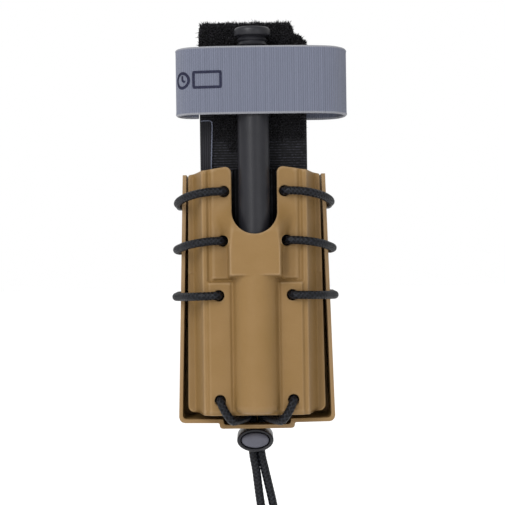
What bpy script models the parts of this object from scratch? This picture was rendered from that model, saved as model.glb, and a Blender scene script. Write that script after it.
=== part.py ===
"""A folded windlass tourniquet, stowed in a two-shell belt carrier that is laced with shock cord.

Units are metres. +X is to the viewer's right, +Y points back to the belt and +Z is up.
The origin is the centre of the belt loop's flat rear face. The front of the object faces -Y.
"""

import math

import bmesh
import bpy
from mathutils import Matrix, Vector

MM = 0.001

# Clearance between neighbouring pieces.
GAP = 0.3 * MM

# The height of a feature where there is none.
NOWHERE = -1.0

# Depths, from the belt loop's rear face at 0 towards the front.
LOOP_PLATE = 3.5 * MM
TRAY_BACK = -9.8 * MM
TRAY_WALL = 2.0 * MM
TRAY_RIM = -30.0 * MM
BUCKLE_BACK = -16.9 * MM
BUCKLE_THICK = 2.4 * MM
BAND_BACK = -20.9 * MM
BASE_BACK = -35.1 * MM
BASE_THICK = 1.4 * MM
FACE_OUT = -42.2 * MM
SHELL_WALL = 1.6 * MM
FLANGE_OUT = -29.5 * MM

# Lacing cord.
CORD_RADIUS = 1.5 * MM
CORD_STANDOFF = CORD_RADIUS + 0.35 * MM
LACE_HOLE_RADIUS = 1.95 * MM

# Tray: half widths at its top and floor, and heights.
TRAY_TOP = 45.3 * MM
TRAY_FLOOR = -46.3 * MM
TRAY_TOP_HALF = 26.3 * MM
TRAY_FLOOR_HALF = 28.9 * MM
TRAY_SIDE_WALL = 1.4 * MM
TAB_HALF = 13.9 * MM
TAB_FLOOR = -48.6 * MM
TAB_WALL = 1.4 * MM
EXIT_HALF = 4.0 * MM
EXIT_Y = -20.0 * MM
EXIT_HALF_DEPTH = 2.2 * MM

# Front shell.
SHELL_BOTTOM = -42.3 * MM
SHELL_SIDE_TOP = 45.4 * MM
EAR_TOP = 47.4 * MM
SHELL_TOP_HALF = 24.2 * MM
SHELL_BOTTOM_HALF = 25.4 * MM
FLANGE_INNER = 21.9 * MM
FACE_HALF = 19.4 * MM
SHOULDER_DROP = 0.55 * MM
PANEL_EDGE = 17.8 * MM
PANEL_HALF = 16.2 * MM
PANEL_RISE = 0.7 * MM
PANEL_TOP = 6.5 * MM
NOTCH_HALF = 8.2 * MM
NOTCH_BOTTOM = 23.1 * MM
BUMP_RADIUS = 8.1 * MM
BRIDGE_HALF = 9.1 * MM
BRIDGE_BASE_HALF = 9.7 * MM
BRIDGE_BOTTOM = 8.2 * MM
CORNER = 2.2 * MM

# Lacing holes: (half spacing, height) in the front shell and in the tray's back wall, top row first.
FRONT_HOLES = ((10.9 * MM, 38.5 * MM), (11.4 * MM, 20.7 * MM), (13.2 * MM, 1.0 * MM))
FOOT_HOLE = (13.2 * MM, -36.7 * MM)
BACK_HOLES = ((21.6 * MM, 34.4 * MM), (21.6 * MM, 17.4 * MM), (21.6 * MM, 0.3 * MM))

# Windlass rod, which lies along Z.
ROD_Y = -42.6 * MM
ROD_RADIUS = 5.7 * MM
ROD_BOTTOM = -30.0 * MM
ROD_TOP = 97.2 * MM
KNOB_RADIUS = 6.6 * MM
NECK_RADIUS = 5.0 * MM
SLOT_BOTTOM = 20.0 * MM
SLOT_TOP = 48.0 * MM
SLOT_HEIGHT = 3.4 * MM

# Band, folded in layers.
BAND_HALF = 19.4 * MM
BAND_THICK = 2.3 * MM
BAND_PITCH = 2.8 * MM
BAND_LAYERS = 5
BAND_BOTTOM = -38.0 * MM
BAND_TOP = 100.2 * MM

# Clip and retaining strap.
CLIP_BOTTOM = 67.0 * MM
CLIP_TOP = 88.6 * MM
STRAP_BOTTOM = 65.6 * MM
STRAP_TOP = 89.8 * MM
STRAP_THICK = 1.2 * MM
STRAP_HINGE = (22.0 * MM, -24.0 * MM)

# Cord lock.
LOCK_X = -0.8 * MM
LOCK_Z = -53.4 * MM
LOCK_HALF_X = 6.8 * MM
LOCK_HALF_Z = 4.3 * MM
LOCK_FRONT = -27.5 * MM
LOCK_BACK = -10.2 * MM
LOCK_BORE_END = -11.7 * MM
BORE_HALF_X = 5.4 * MM
BORE_HALF_Z = 3.1 * MM

LOCK_SIDES = 28
WINDOW_FRONT = -24.4 * MM
WINDOW_BACK = -18.2 * MM
CORD_WINDOW_HALF = 4.2 * MM
BUTTON_BACK = -16.6 * MM
BUTTON_FRONT = -28.4 * MM
BUTTON_CROWN = 1.0 * MM

# Belt loop and its fasteners.
LOOP_HALF = 16.0 * MM
LOOP_END = 36.0 * MM
BOSS_START = 26.0 * MM
SCREW_X = 10.0 * MM
SCREW_Z = 31.0 * MM
SCREW_RADIUS = 1.3 * MM
SCREW_HEAD_RADIUS = 3.2 * MM
SCREW_HEAD = 2.0 * MM
HEAD_DEPTH = 0.5 * MM
POST_RADIUS = 2.2 * MM
POST_TIP = -4.6 * MM
POST_FLANGE_RADIUS = 3.2 * MM
POST_FLANGE = 1.0 * MM
FASTENER_SIDES = 14

# Buckle.
BUCKLE_HALF = 22.5 * MM
BUCKLE_BOTTOM = -40.0 * MM
BUCKLE_TOP = -19.0 * MM
BUCKLE_SLOT_HALF = 19.6 * MM
BUCKLE_SLOT = 5.4 * MM
BUCKLE_BAR = 3.4 * MM
BUCKLE_EDGE = 3.2 * MM

# Tails: height, sideways lean and half of the gap between the two cords' lines, in mm.
TAIL_ROUTE = (
    (-48.7, 0.0, 1.70),
    (-51.0, -0.25, 1.66),
    (-53.5, -0.4, 1.65),
    (-56.5, -0.35, 1.65),
    (-59.9, -0.05, 1.70),
    (-65.6, 1.05, 1.79),
    (-71.2, 2.0, 1.96),
    (-77.0, 3.0, 2.25),
    (-85.0, 4.3, 2.3),
    (-93.0, 5.1, 2.1),
    (-100.0, 5.4, 1.85),
    (-104.6, 5.5, 1.8),
)
KNOT_CENTRE = (5.5 * MM, EXIT_Y, -110.2 * MM)
KNOT_RADIUS = 4.6 * MM
KNOT_HALF_HEIGHT = 5.3 * MM

# The retaining strap from above, from its sewn end round the front to the left, in mm.
STRAP_ROUTE = (
    (19.8, -24.0),
    (22.8, -23.9),
    (26.6, -24.3),
    (30.8, -26.8),
    (33.3, -33.0),
    (32.7, -41.0),
    (28.7, -46.6),
    (21.1, -48.9),
    (8.0, -49.6),
    (-5.0, -49.6),
    (-16.8, -48.9),
    (-23.8, -46.8),
    (-27.0, -42.0),
    (-25.8, -36.0),
    (-22.8, -33.5),
    (-20.5, -33.4),
)

XZ_PLANE = Matrix.Rotation(math.radians(90), 4, "X")
YZ_PLANE = Matrix(((0, 0, 1, 0), (1, 0, 0, 0), (0, 1, 0, 0), (0, 0, 0, 1)))
XY_PLANE = Matrix.Identity(4)


def clear_scene():
    for obj in list(bpy.data.objects):
        bpy.data.objects.remove(obj, do_unlink=True)


def new_collection(name):
    collection = bpy.data.collections.new(name)
    bpy.context.scene.collection.children.link(collection)
    return collection


def material(name, color, roughness, metallic=0.0):
    made = bpy.data.materials.new(name)
    made.use_nodes = True
    shader = made.node_tree.nodes["Principled BSDF"]
    shader.inputs["Base Color"].default_value = (*color, 1)
    shader.inputs["Roughness"].default_value = roughness
    shader.inputs["Metallic"].default_value = metallic
    return made


def place(obj, collection, finish=None, parent=None):
    """Links the object to its collection alone, paints it, and parents it where it stands."""
    bpy.context.view_layer.update()
    for old in list(obj.users_collection):
        old.objects.unlink(obj)
    collection.objects.link(obj)
    if finish:
        obj.data.materials.append(finish)
    if parent:
        world = obj.matrix_world.copy()
        obj.parent = parent
        obj.matrix_world = world
    return obj


def joint_empty(name, location, parent=None):
    """An empty on a joint's axis, which the moving piece is parented to. The location is in world space."""
    empty = bpy.data.objects.new(name, None)
    PARTS.objects.link(empty)
    if parent:
        empty.parent = parent
        empty.matrix_parent_inverse = parent.matrix_world.inverted()
    empty.location = location
    bpy.context.view_layer.update()
    return empty


def arc(centre, radius, start, end, steps):
    """Points of an arc in a plane, from one angle to the other, in degrees."""
    angles = [math.radians(start + (end - start) * i / steps) for i in range(steps + 1)]
    return [(centre[0] + radius * math.cos(a), centre[1] + radius * math.sin(a)) for a in angles]


def oval(half_x, half_z):
    angles = [2 * math.pi * i / LOCK_SIDES for i in range(LOCK_SIDES)]
    return [(half_x * math.cos(a), half_z * math.sin(a)) for a in angles]


def rounded(corners, radius, steps=4):
    """The outline through these corners, each rounded by its own radius or the shared one."""
    radii = radius if isinstance(radius, (list, tuple)) else [radius] * len(corners)
    outline = []
    for i, corner in enumerate(corners):
        here = Vector(corner)
        before = (Vector(corners[i - 1]) - here).normalized()
        after = (Vector(corners[(i + 1) % len(corners)]) - here).normalized()
        if radii[i] == 0:
            outline.append(tuple(here))
            continue
        half_angle = before.angle(after) / 2
        reach = radii[i] / math.tan(half_angle)
        centre = here + (before + after).normalized() * radii[i] / math.sin(half_angle)
        first = (here + before * reach - centre).normalized()
        last = (here + after * reach - centre).normalized()
        for step in range(steps + 1):
            outline.append(tuple(centre + first.slerp(last, step / steps) * radii[i]))
    return outline


def smooth(points, steps):
    """Points on a centripetal Catmull-Rom curve through the given points."""
    knots = [Vector(p) for p in points]
    ends = [2 * knots[0] - knots[1], *knots, 2 * knots[-1] - knots[-2]]
    made = []
    for a, b, c, d in zip(ends, ends[1:], ends[2:], ends[3:]):
        t1 = (b - a).length ** 0.5
        t2 = t1 + (c - b).length ** 0.5
        t3 = t2 + (d - c).length ** 0.5
        for step in range(steps):
            t = t1 + (t2 - t1) * step / steps
            p = a * (t1 - t) / t1 + b * t / t1
            q = b * (t2 - t) / (t2 - t1) + c * (t - t1) / (t2 - t1)
            r = c * (t3 - t) / (t3 - t2) + d * (t - t2) / (t3 - t2)
            s = p * (t2 - t) / t2 + q * t / t2
            u = q * (t3 - t) / (t3 - t1) + r * (t - t1) / (t3 - t1)
            made.append(s * (t2 - t) / (t2 - t1) + u * (t - t1) / (t2 - t1))
    return [*made, knots[-1]]


def curve_object(name, points, closed, plane=XY_PLANE, at=(0, 0, 0), **settings):
    """A curve through these points, lying in the given plane, with its position added."""
    data = bpy.data.curves.new(name, "CURVE")
    for key, value in settings.items():
        setattr(data, key, value)
    spline = data.splines.new("POLY")
    spline.points.add(len(points) - 1)
    for point, co in zip(spline.points, points):
        point.co = (*co, *([0] * (3 - len(co))), 1)
    spline.use_cyclic_u = closed
    obj = bpy.data.objects.new(name, data)
    bpy.context.scene.collection.objects.link(obj)
    obj.matrix_world = Matrix.Translation(at) @ plane
    bpy.context.view_layer.update()
    return obj


def as_mesh(obj):
    """The curve made a mesh with its caps welded; the curve is removed."""
    bpy.context.view_layer.update()
    mesh = bpy.data.meshes.new_from_object(obj.evaluated_get(bpy.context.evaluated_depsgraph_get()))
    made = bpy.data.objects.new("made", mesh)
    made.matrix_world = obj.matrix_world
    bpy.context.scene.collection.objects.link(made)
    name = obj.name
    bpy.data.objects.remove(obj, do_unlink=True)
    made.name = name
    weld(mesh)
    return made


def weld(mesh):
    """Joins loose caps to their sides, and makes each flat cap one face, so that it has no slivers."""
    work = bmesh.new()
    work.from_mesh(mesh)
    bmesh.ops.remove_doubles(work, verts=work.verts, dist=0.001 * MM)
    bmesh.ops.dissolve_limit(
        work, angle_limit=math.radians(0.1), verts=work.verts, edges=work.edges, delimit=set()
    )
    bmesh.ops.recalc_face_normals(work, faces=work.faces)
    work.to_mesh(mesh)
    work.free()


def plate(name, outline, low, high, plane=XZ_PLANE):
    """A flat outline with thickness. In the XZ plane low and high are depths in Y; in XY, heights."""
    middle = (low + high) / 2
    at = {id(XZ_PLANE): (0, middle, 0), id(XY_PLANE): (0, 0, middle), id(YZ_PLANE): (middle, 0, 0)}
    flat = curve_object(
        name,
        outline,
        True,
        plane,
        at[id(plane)],
        dimensions="2D",
        fill_mode="BOTH",
        extrude=abs(high - low) / 2,
    )
    return as_mesh(flat)


def strip(name, path, half_width, thickness, plane=XY_PLANE, at=(0, 0, 0)):
    """A strap: an open line drawn out to its width, then given its thickness by Solidify."""
    line = curve_object(
        name, path, False, plane, at, dimensions="2D", fill_mode="NONE", extrude=half_width
    )
    made = as_mesh(line)
    solidify = made.modifiers.new("Thickness", "SOLIDIFY")
    solidify.thickness = thickness
    solidify.offset = 0
    solidify.use_even_offset = True
    return made


def tube(name, points, radius):
    return curve_object(
        name,
        points,
        False,
        dimensions="3D",
        bevel_depth=radius,
        bevel_resolution=2,
        use_fill_caps=True,
    )


def cylinder(name, radius, start, end, sides=24):
    """A cylinder between two points."""
    start, end = Vector(start), Vector(end)
    mesh = bpy.data.meshes.new(name)
    work = bmesh.new()
    length = (end - start).length
    bmesh.ops.create_cone(
        work, cap_ends=True, segments=sides, radius1=radius, radius2=radius, depth=length
    )
    work.to_mesh(mesh)
    work.free()
    made = bpy.data.objects.new(name, mesh)
    bpy.context.scene.collection.objects.link(made)
    turn = (end - start).to_track_quat("Z", "Y").to_matrix().to_4x4()
    made.matrix_world = Matrix.Translation((start + end) / 2) @ turn
    return made


def box(name, low, high):
    low, high = Vector(low), Vector(high)
    mesh = bpy.data.meshes.new(name)
    work = bmesh.new()
    bmesh.ops.create_cube(work, size=1.0)
    bmesh.ops.scale(work, vec=high - low, verts=work.verts)
    work.to_mesh(mesh)
    work.free()
    made = bpy.data.objects.new(name, mesh)
    bpy.context.scene.collection.objects.link(made)
    made.location = (low + high) / 2
    return made


def turned(name, profile, axis_at, direction, sides=24):
    """A solid of revolution. The profile is (radius, height) pairs from the top down."""
    mesh = bpy.data.meshes.new(name)
    mesh.from_pydata([(r, 0, h) for r, h in profile], [(i, i + 1) for i in range(len(profile) - 1)], [])
    made = bpy.data.objects.new(name, mesh)
    bpy.context.scene.collection.objects.link(made)
    turn = Vector(direction).to_track_quat("Z", "Y").to_matrix().to_4x4()
    made.matrix_world = Matrix.Translation(axis_at) @ turn
    screw = made.modifiers.new("Turn", "SCREW")
    screw.steps = screw.render_steps = sides
    screw.use_merge_vertices = True
    screw.merge_threshold = 0.01 * MM
    screw.use_smooth_shade = True
    return made


def cut(obj, *cutters, operation="DIFFERENCE", solver="EXACT"):
    """Cuts the object with each cutter, which then counts as a helper."""
    for cutter in cutters:
        boolean = obj.modifiers.new("Cut", "BOOLEAN")
        boolean.operation = operation
        boolean.solver = solver
        boolean.object = cutter
        cutter.hide_render = True
        cutter.display_type = "WIRE"
        place(cutter, CUTTERS)
    return obj


def ease(value, start, end):
    """0 before start, 1 after end, and a smooth step between them."""
    t = min(max((value - start) / (end - start), 0.0), 1.0)
    return t * t * (3 - 2 * t)


# ---------------------------------------------------------------- carrier


def tray_half(z):
    """The tray's outer half width at a height."""
    share = (TRAY_TOP - z) / (TRAY_TOP - TRAY_FLOOR)
    return TRAY_TOP_HALF + (TRAY_FLOOR_HALF - TRAY_TOP_HALF) * share


def tray_outline(inset, top):
    """The tray seen from the front, with the tab at the bottom, made smaller by inset."""
    foot = TRAY_FLOOR_HALF - inset
    tab = TAB_HALF - inset
    floor = TRAY_FLOOR + inset
    tab_floor = TAB_FLOOR + min(inset, TAB_WALL)
    head = tray_half(top) - inset
    droop = 0.2 * MM
    corners = [(-head, top), (-foot, floor), (-tab, floor - droop), (-tab, tab_floor)]
    corners += [(-x, z) for x, z in reversed(corners)]
    tab_round = 1.2 * MM
    side = [0, CORNER - inset / 2, tab_round / 2, tab_round]
    return rounded(corners, side + side[::-1], steps=3)


def build_back_shell():
    shell = plate("back_shell", tray_outline(0, TRAY_TOP), TRAY_BACK, TRAY_RIM)
    mouth = 5 * MM
    hollow = plate(
        "cut_tray_hollow",
        tray_outline(TRAY_SIDE_WALL, TRAY_TOP + mouth),
        TRAY_BACK - TRAY_WALL,
        TRAY_RIM - mouth,
    )
    cutters = [hollow]
    for side in (-1, 1):
        for x, z in BACK_HOLES:
            ends = (side * x, TRAY_BACK + mouth, z), (side * x, TRAY_BACK - mouth, z)
            cutters.append(cylinder("cut_back_hole", LACE_HOLE_RADIUS, *ends, 16))
        for up in (-1, 1):
            at = (side * SCREW_X, up * SCREW_Z)
            ends = (at[0], TRAY_BACK + mouth, at[1]), (at[0], TRAY_BACK - mouth, at[1])
            cutters.append(cylinder("cut_post_hole", POST_RADIUS + GAP, *ends, FASTENER_SIDES))
    low = (-EXIT_HALF, EXIT_Y - EXIT_HALF_DEPTH, TAB_FLOOR - mouth)
    high = (EXIT_HALF, EXIT_Y + EXIT_HALF_DEPTH, TAB_FLOOR + mouth / 2)
    cutters.append(box("cut_cord_exit", low, high))
    cut(shell, *cutters)
    return place(shell, PARTS, COYOTE)


def build_belt_loop():
    """A C-shaped strip of plastic: a flat plate with a boss at each end, open in the middle for a belt."""
    front = TRAY_BACK + GAP
    profile = [
        (0, -LOOP_END),
        (0, LOOP_END),
        (front, LOOP_END),
        (front, BOSS_START),
        (-LOOP_PLATE, BOSS_START),
        (-LOOP_PLATE, -BOSS_START),
        (front, -BOSS_START),
        (front, -LOOP_END),
    ]
    edge = 1.0 * MM
    radii = [edge, edge, 0, 0, edge, edge, 0, 0]
    loop = plate("belt_loop", rounded(profile, radii, 3), -LOOP_HALF, LOOP_HALF, YZ_PLANE)
    cutters = []
    head_floor = -HEAD_DEPTH - SCREW_HEAD - GAP
    beyond = 3 * MM
    for side in (-1, 1):
        for up in (-1, 1):
            x, z = side * SCREW_X, up * SCREW_Z
            steps = (
                (SCREW_HEAD_RADIUS + GAP, beyond, head_floor),
                (SCREW_RADIUS + GAP, head_floor + 0.5 * MM, front - beyond),
                (POST_RADIUS + GAP, POST_TIP + GAP, front - beyond),
            )
            for radius, start, end in steps:
                cutters.append(cylinder("cut_loop_hole", radius, (x, start, z), (x, end, z), FASTENER_SIDES))
    cut(loop, *cutters)
    return place(loop, PARTS, BLACK_POLYMER)


def build_fasteners():
    """Four screws from behind, each in its own barrel nut inside the tray."""
    seat = TRAY_BACK - TRAY_WALL - GAP
    bore = SCREW_RADIUS + GAP
    count = 0
    for up in (1, -1):
        for side in (-1, 1):
            count += 1
            at = (side * SCREW_X, 0, up * SCREW_Z)
            screw_profile = [
                (0, -HEAD_DEPTH),
                (SCREW_HEAD_RADIUS * 0.8, -HEAD_DEPTH),
                (SCREW_HEAD_RADIUS, -HEAD_DEPTH - SCREW_HEAD * 0.4),
                (SCREW_HEAD_RADIUS, -HEAD_DEPTH - SCREW_HEAD),
                (SCREW_RADIUS, -HEAD_DEPTH - SCREW_HEAD),
                (SCREW_RADIUS, seat + 1.2 * MM),
                (0, seat + 1.2 * MM),
            ]
            screw = turned(f"belt_screw_{count}", screw_profile, at, (0, 1, 0), FASTENER_SIDES)
            place(screw, PARTS, DARK_STEEL)
            nut_profile = [
                (bore, POST_TIP),
                (POST_RADIUS, POST_TIP),
                (POST_RADIUS, seat),
                (POST_FLANGE_RADIUS, seat),
                (POST_FLANGE_RADIUS, seat - POST_FLANGE),
                (0, seat - POST_FLANGE),
                (0, seat + 0.6 * MM),
                (bore, seat + 0.6 * MM),
                (bore, POST_TIP),
            ]
            nut = turned(f"post_nut_{count}", nut_profile, at, (0, 1, 0), FASTENER_SIDES)
            place(nut, PARTS, DARK_STEEL)


# ---------------------------------------------------------------- front shell


def ramp(value, start, end):
    """0 before start, 1 after end, and a straight line between them."""
    return min(max((value - start) / (end - start), 0.0), 1.0)


def face_height(x, z, inset=0.0):
    """How far the surface stands in front of the flange. The inside is the same form, inset by the wall."""
    x = abs(x)
    shoulder = FLANGE_OUT - FACE_OUT - SHOULDER_DROP
    height = shoulder * (1 - ramp(x, FACE_HALF - inset, FLANGE_INNER - inset))
    panel = SHOULDER_DROP + PANEL_RISE * (1 - ramp(z, PANEL_TOP - 1.0 * MM, PANEL_TOP))
    height += panel * (1 - ramp(x, PANEL_HALF - inset, PANEL_EDGE - inset))
    return max(height - inset, bump_height(x, z, inset), bridge_height(x, z, inset))


def bump_height(x, z, inset):
    """The half-round housing over the lower windlass, with a rounded foot."""
    foot = 3.0 * MM
    above = z - (SHELL_BOTTOM + 0.8 * MM) - inset
    radius = BUMP_RADIUS - inset
    if above < foot:
        radius -= foot - math.sqrt(foot**2 - (foot - max(above, 0)) ** 2)
    fade = 1 - ramp(z, BRIDGE_BOTTOM + inset, BRIDGE_BOTTOM + inset + 1.0 * MM)
    if x >= radius or fade == 0 or above <= 0:
        return NOWHERE
    return (FLANGE_OUT - ROD_Y + math.sqrt(radius**2 - x**2)) * fade


def bridge_height(x, z, inset):
    """The flat raised bridge that crosses the rod below the notch, and melts into the ears above."""
    top = FLANGE_OUT - ROD_Y + BUMP_RADIUS - inset
    low = FLANGE_OUT - FACE_OUT - inset
    melt = ease(z, NOTCH_BOTTOM - 2.5 * MM, NOTCH_BOTTOM + 5 * MM)
    inner = BRIDGE_HALF - inset - 2.0 * MM * melt
    outer = BRIDGE_BASE_HALF - inset + 5.5 * MM * melt
    across = 1 - (ease(x, inner, outer) if melt > 0 else ramp(x, inner, outer))
    up = 1 - ease(z, NOTCH_BOTTOM + 0.5 * MM, NOTCH_BOTTOM + 13 * MM)
    down = ramp(z, BRIDGE_BOTTOM + inset - 1.0 * MM, BRIDGE_BOTTOM + inset)
    share = across * up * down
    return low + (top - low) * share if share else NOWHERE


def shell_columns():
    """Grid columns of both halves, one at each bend of the outside and of the inside."""
    bends = (BUMP_RADIUS, BRIDGE_HALF, BRIDGE_BASE_HALF, PANEL_HALF, PANEL_EDGE, FACE_HALF, FLANGE_INNER)
    half = [x - inset for x in bends for inset in (0, SHELL_WALL)]
    half += [x * MM for x in (0.0, 2.4, 4.6, 11.2, 13.2, 23.4, 27.0)]
    right = sorted({round(x, 7) for x in half})
    return [-x for x in reversed(right[1:])] + right


def shell_rows():
    """Grid rows from the foot up, closer at the foot, the step and the melt."""
    plain = (-44.0, -24.0, -12.0, 0.0, 14.0, 42.0, 50.0)
    melt = (20.6, 22.5, 24.0, 26.0, 28.2, 30.5, 33.0, 36.2)
    rows = {z * MM for z in plain + melt}
    rows |= {PANEL_TOP - 1.0 * MM, PANEL_TOP}
    for inset in (0, SHELL_WALL):
        foot = SHELL_BOTTOM + 0.8 * MM + inset
        rows |= {foot + z * MM for z in (0.1, 0.9, 2.0, 3.1)}
        rows |= {BRIDGE_BOTTOM + inset + z * MM for z in (-1.0, 0.0, 1.0)}
    return sorted(rows)


def front_outline():
    """The front shell's cut edge seen from the front: ears, notch and rounded foot."""
    notch_centre = NOTCH_BOTTOM + NOTCH_HALF
    corners = [
        (-SHELL_BOTTOM_HALF, SHELL_BOTTOM),
        (SHELL_BOTTOM_HALF, SHELL_BOTTOM),
        (SHELL_TOP_HALF, SHELL_SIDE_TOP),
        (NOTCH_HALF, EAR_TOP),
    ]
    corners += [(NOTCH_HALF, notch_centre), (-NOTCH_HALF, EAR_TOP)]
    ear_round = 2.2 * MM
    steps = 4
    right = rounded(corners, [CORNER, CORNER, 0.8 * MM, ear_round, 0, 0], steps)
    right_half = right[steps + 1 : 4 * (steps + 1)]
    notch = arc((0, notch_centre), NOTCH_HALF, 0, -180, 16)
    left_half = [(-x, z) for x, z in reversed(right_half)]
    return right_half + notch + left_half


def build_front_shell():
    columns, rows = shell_columns(), shell_rows()
    mesh = bpy.data.meshes.new("front_shell")
    work = bmesh.new()
    bmesh.ops.create_grid(work, x_segments=len(columns) - 1, y_segments=len(rows) - 1, size=1.0)
    for vertex in work.verts:
        x = columns[round((vertex.co.x + 1) / 2 * (len(columns) - 1))]
        z = rows[round((vertex.co.y + 1) / 2 * (len(rows) - 1))]
        vertex.co = (x, FLANGE_OUT - face_height(x, z), z)
    inside = bmesh.ops.extrude_face_region(work, geom=work.faces[:], use_keep_orig=True)["geom"]
    for item in inside:
        if isinstance(item, bmesh.types.BMVert):
            item.co.y = FLANGE_OUT - face_height(item.co.x, item.co.z, SHELL_WALL)
    bmesh.ops.recalc_face_normals(work, faces=work.faces)
    work.to_mesh(mesh)
    work.free()
    shell = bpy.data.objects.new("front_shell", mesh)
    bpy.context.scene.collection.objects.link(shell)
    depth = 35 * MM
    outline = plate("cut_front_outline", front_outline(), FLANGE_OUT + depth, FLANGE_OUT - depth)
    cut(shell, outline, operation="INTERSECT", solver="MANIFOLD")
    cutters = []
    for side in (-1, 1):
        for x, z in (*FRONT_HOLES, FOOT_HOLE):
            ends = (side * x, FACE_OUT + 6 * MM, z), (side * x, FACE_OUT - 4 * MM, z)
            cutters.append(cylinder("cut_front_hole", LACE_HOLE_RADIUS, *ends, 16))
    cut(shell, *cutters, solver="MANIFOLD")
    pivot = joint_empty("front_shell_spread", (0, FLANGE_OUT, 0))
    return place(shell, PARTS, COYOTE, pivot)


# ---------------------------------------------------------------- lacing cord


def bend_out(hole, wall_side, run, direction, depth_sign, steps=3):
    """Points of the bend from a hole's axis to a run along the wall, in the direction given.

    hole is (x, z), wall_side the wall's surface, run the depth of the cord's line on that side.
    """
    radius = abs(run - wall_side)
    points = []
    for step in range(steps + 1):
        turn = math.radians(90 * step / steps)
        away = radius * (1 - math.cos(turn))
        y = wall_side + depth_sign * radius * math.sin(turn)
        points.append((hole[0] + direction[0] * away, y, hole[1] + direction[1] * away))
    return points


def side_loop(front, back, face):
    """The cord from a front hole round the tray's side to a back hole, on the right side."""
    front_run = face - CORD_STANDOFF
    back_run = TRAY_BACK + CORD_STANDOFF
    fall = back[1] - front[1]
    points = bend_out(front, face, front_run, (1, 0), -1)
    # Over the shell's shoulder, out to the tray's rim and back along its side: (x, y, share of the fall).
    side = tray_half(back[1]) + CORD_RADIUS + 0.2 * MM
    shoulder = [
        (16.0 * MM, front_run, 0.03),
        (20.2 * MM, front_run + 0.4 * MM, 0.18),
        (24.2 * MM, front_run + 4.0 * MM, 0.40),
        (27.0 * MM, front_run + 9.2 * MM, 0.66),
        (side, TRAY_RIM, 0.86),
        (side, TRAY_RIM + 8 * MM, 0.97),
        (side, TRAY_BACK - 3 * MM, 1.0),
    ]
    points += [(x, y, front[1] + fall * share) for x, y, share in shoulder]
    corner = tray_half(back[1])
    wrap = arc((corner, TRAY_BACK), CORD_STANDOFF, 0, 90, 3)
    points += [(x, y, back[1]) for x, y in wrap]
    points += reversed(bend_out(back, TRAY_BACK, back_run, (1, 0), 1))
    return points


def right_lacing():
    """One half of the lacing, from the middle of the back to the cord exit."""
    inside_back = TRAY_BACK - TRAY_WALL
    back_run = inside_back - CORD_STANDOFF
    inside_face = FACE_OUT + SHELL_WALL
    front_run = inside_face + CORD_STANDOFF
    panel_face = FACE_OUT - PANEL_RISE
    top, middle, low = FRONT_HOLES
    back_top, back_middle, back_low = BACK_HOLES
    up, down, inward = (0, 1), (0, -1), (-0.9, 0.43)
    route = [(0, back_run, 40.4 * MM), (9 * MM, back_run, 40.1 * MM), (15.5 * MM, back_run, 38.5 * MM)]
    route += reversed(bend_out(back_top, inside_back, back_run, inward, -1))
    route += reversed(side_loop(top, back_top, FACE_OUT))
    route += bend_out(top, inside_face, front_run, down, 1)
    route += reversed(bend_out(middle, inside_face, front_run, up, 1))
    route += side_loop(middle, back_middle, FACE_OUT)
    route += bend_out(back_middle, inside_back, back_run, down, -1)
    route += reversed(bend_out(back_low, inside_back, back_run, up, -1))
    route += reversed(side_loop(low, back_low, panel_face))
    route += bend_out(low, inside_face, front_run, down, 1)
    route += [(low[0], front_run, -18 * MM)]
    route += reversed(bend_out(FOOT_HOLE, inside_face, front_run, up, 1))
    to_exit = (-0.35, -0.94)
    route += bend_out(FOOT_HOLE, panel_face, panel_face - CORD_STANDOFF, to_exit, -1)
    under = [
        (11.3, -44.8, -40.9),
        (10.1, -44.6, -42.7),
        (8.9, -43.4, -44.15),
        (7.4, -40.6, -44.4),
        (5.4, -35.5, -44.4),
        (3.7, -30.0, -44.4),
        (2.5, -25.2, -44.4),
        (1.9, -22.0, -44.6),
        (1.7, -20.35, -45.6),
        (1.7, -20.0, -46.7),
        (1.7, -20.0, -48.3),
    ]
    route += [(x * MM, y * MM, z * MM) for x, y, z in under]
    return route


def build_lacing_cord():
    """One cord: down the left side, up through the back and down the right side."""
    right = right_lacing()
    left = [(-x, y, z) for x, y, z in reversed(right)]
    cord = tube("lacing_cord", left[:-1] + right, CORD_RADIUS)
    return place(cord, PARTS, SHOCK_CORD)


def build_tails():
    for side, name in ((-1, "cord_tail_left"), (1, "cord_tail_right")):
        route = [((lean + side * half) * MM, EXIT_Y, z * MM) for z, lean, half in TAIL_ROUTE]
        place(tube(name, route, CORD_RADIUS), PARTS, SHOCK_CORD)
    profile = []
    for angle in range(90, -91, -18):
        turn = math.radians(angle)
        profile.append((max(KNOT_RADIUS * math.cos(turn), 0), KNOT_HALF_HEIGHT * math.sin(turn)))
    knot = turned("tail_knot", profile, KNOT_CENTRE, (0, 0, 1), 16)
    place(knot, PARTS, SHOCK_CORD)


# ---------------------------------------------------------------- tourniquet


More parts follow.
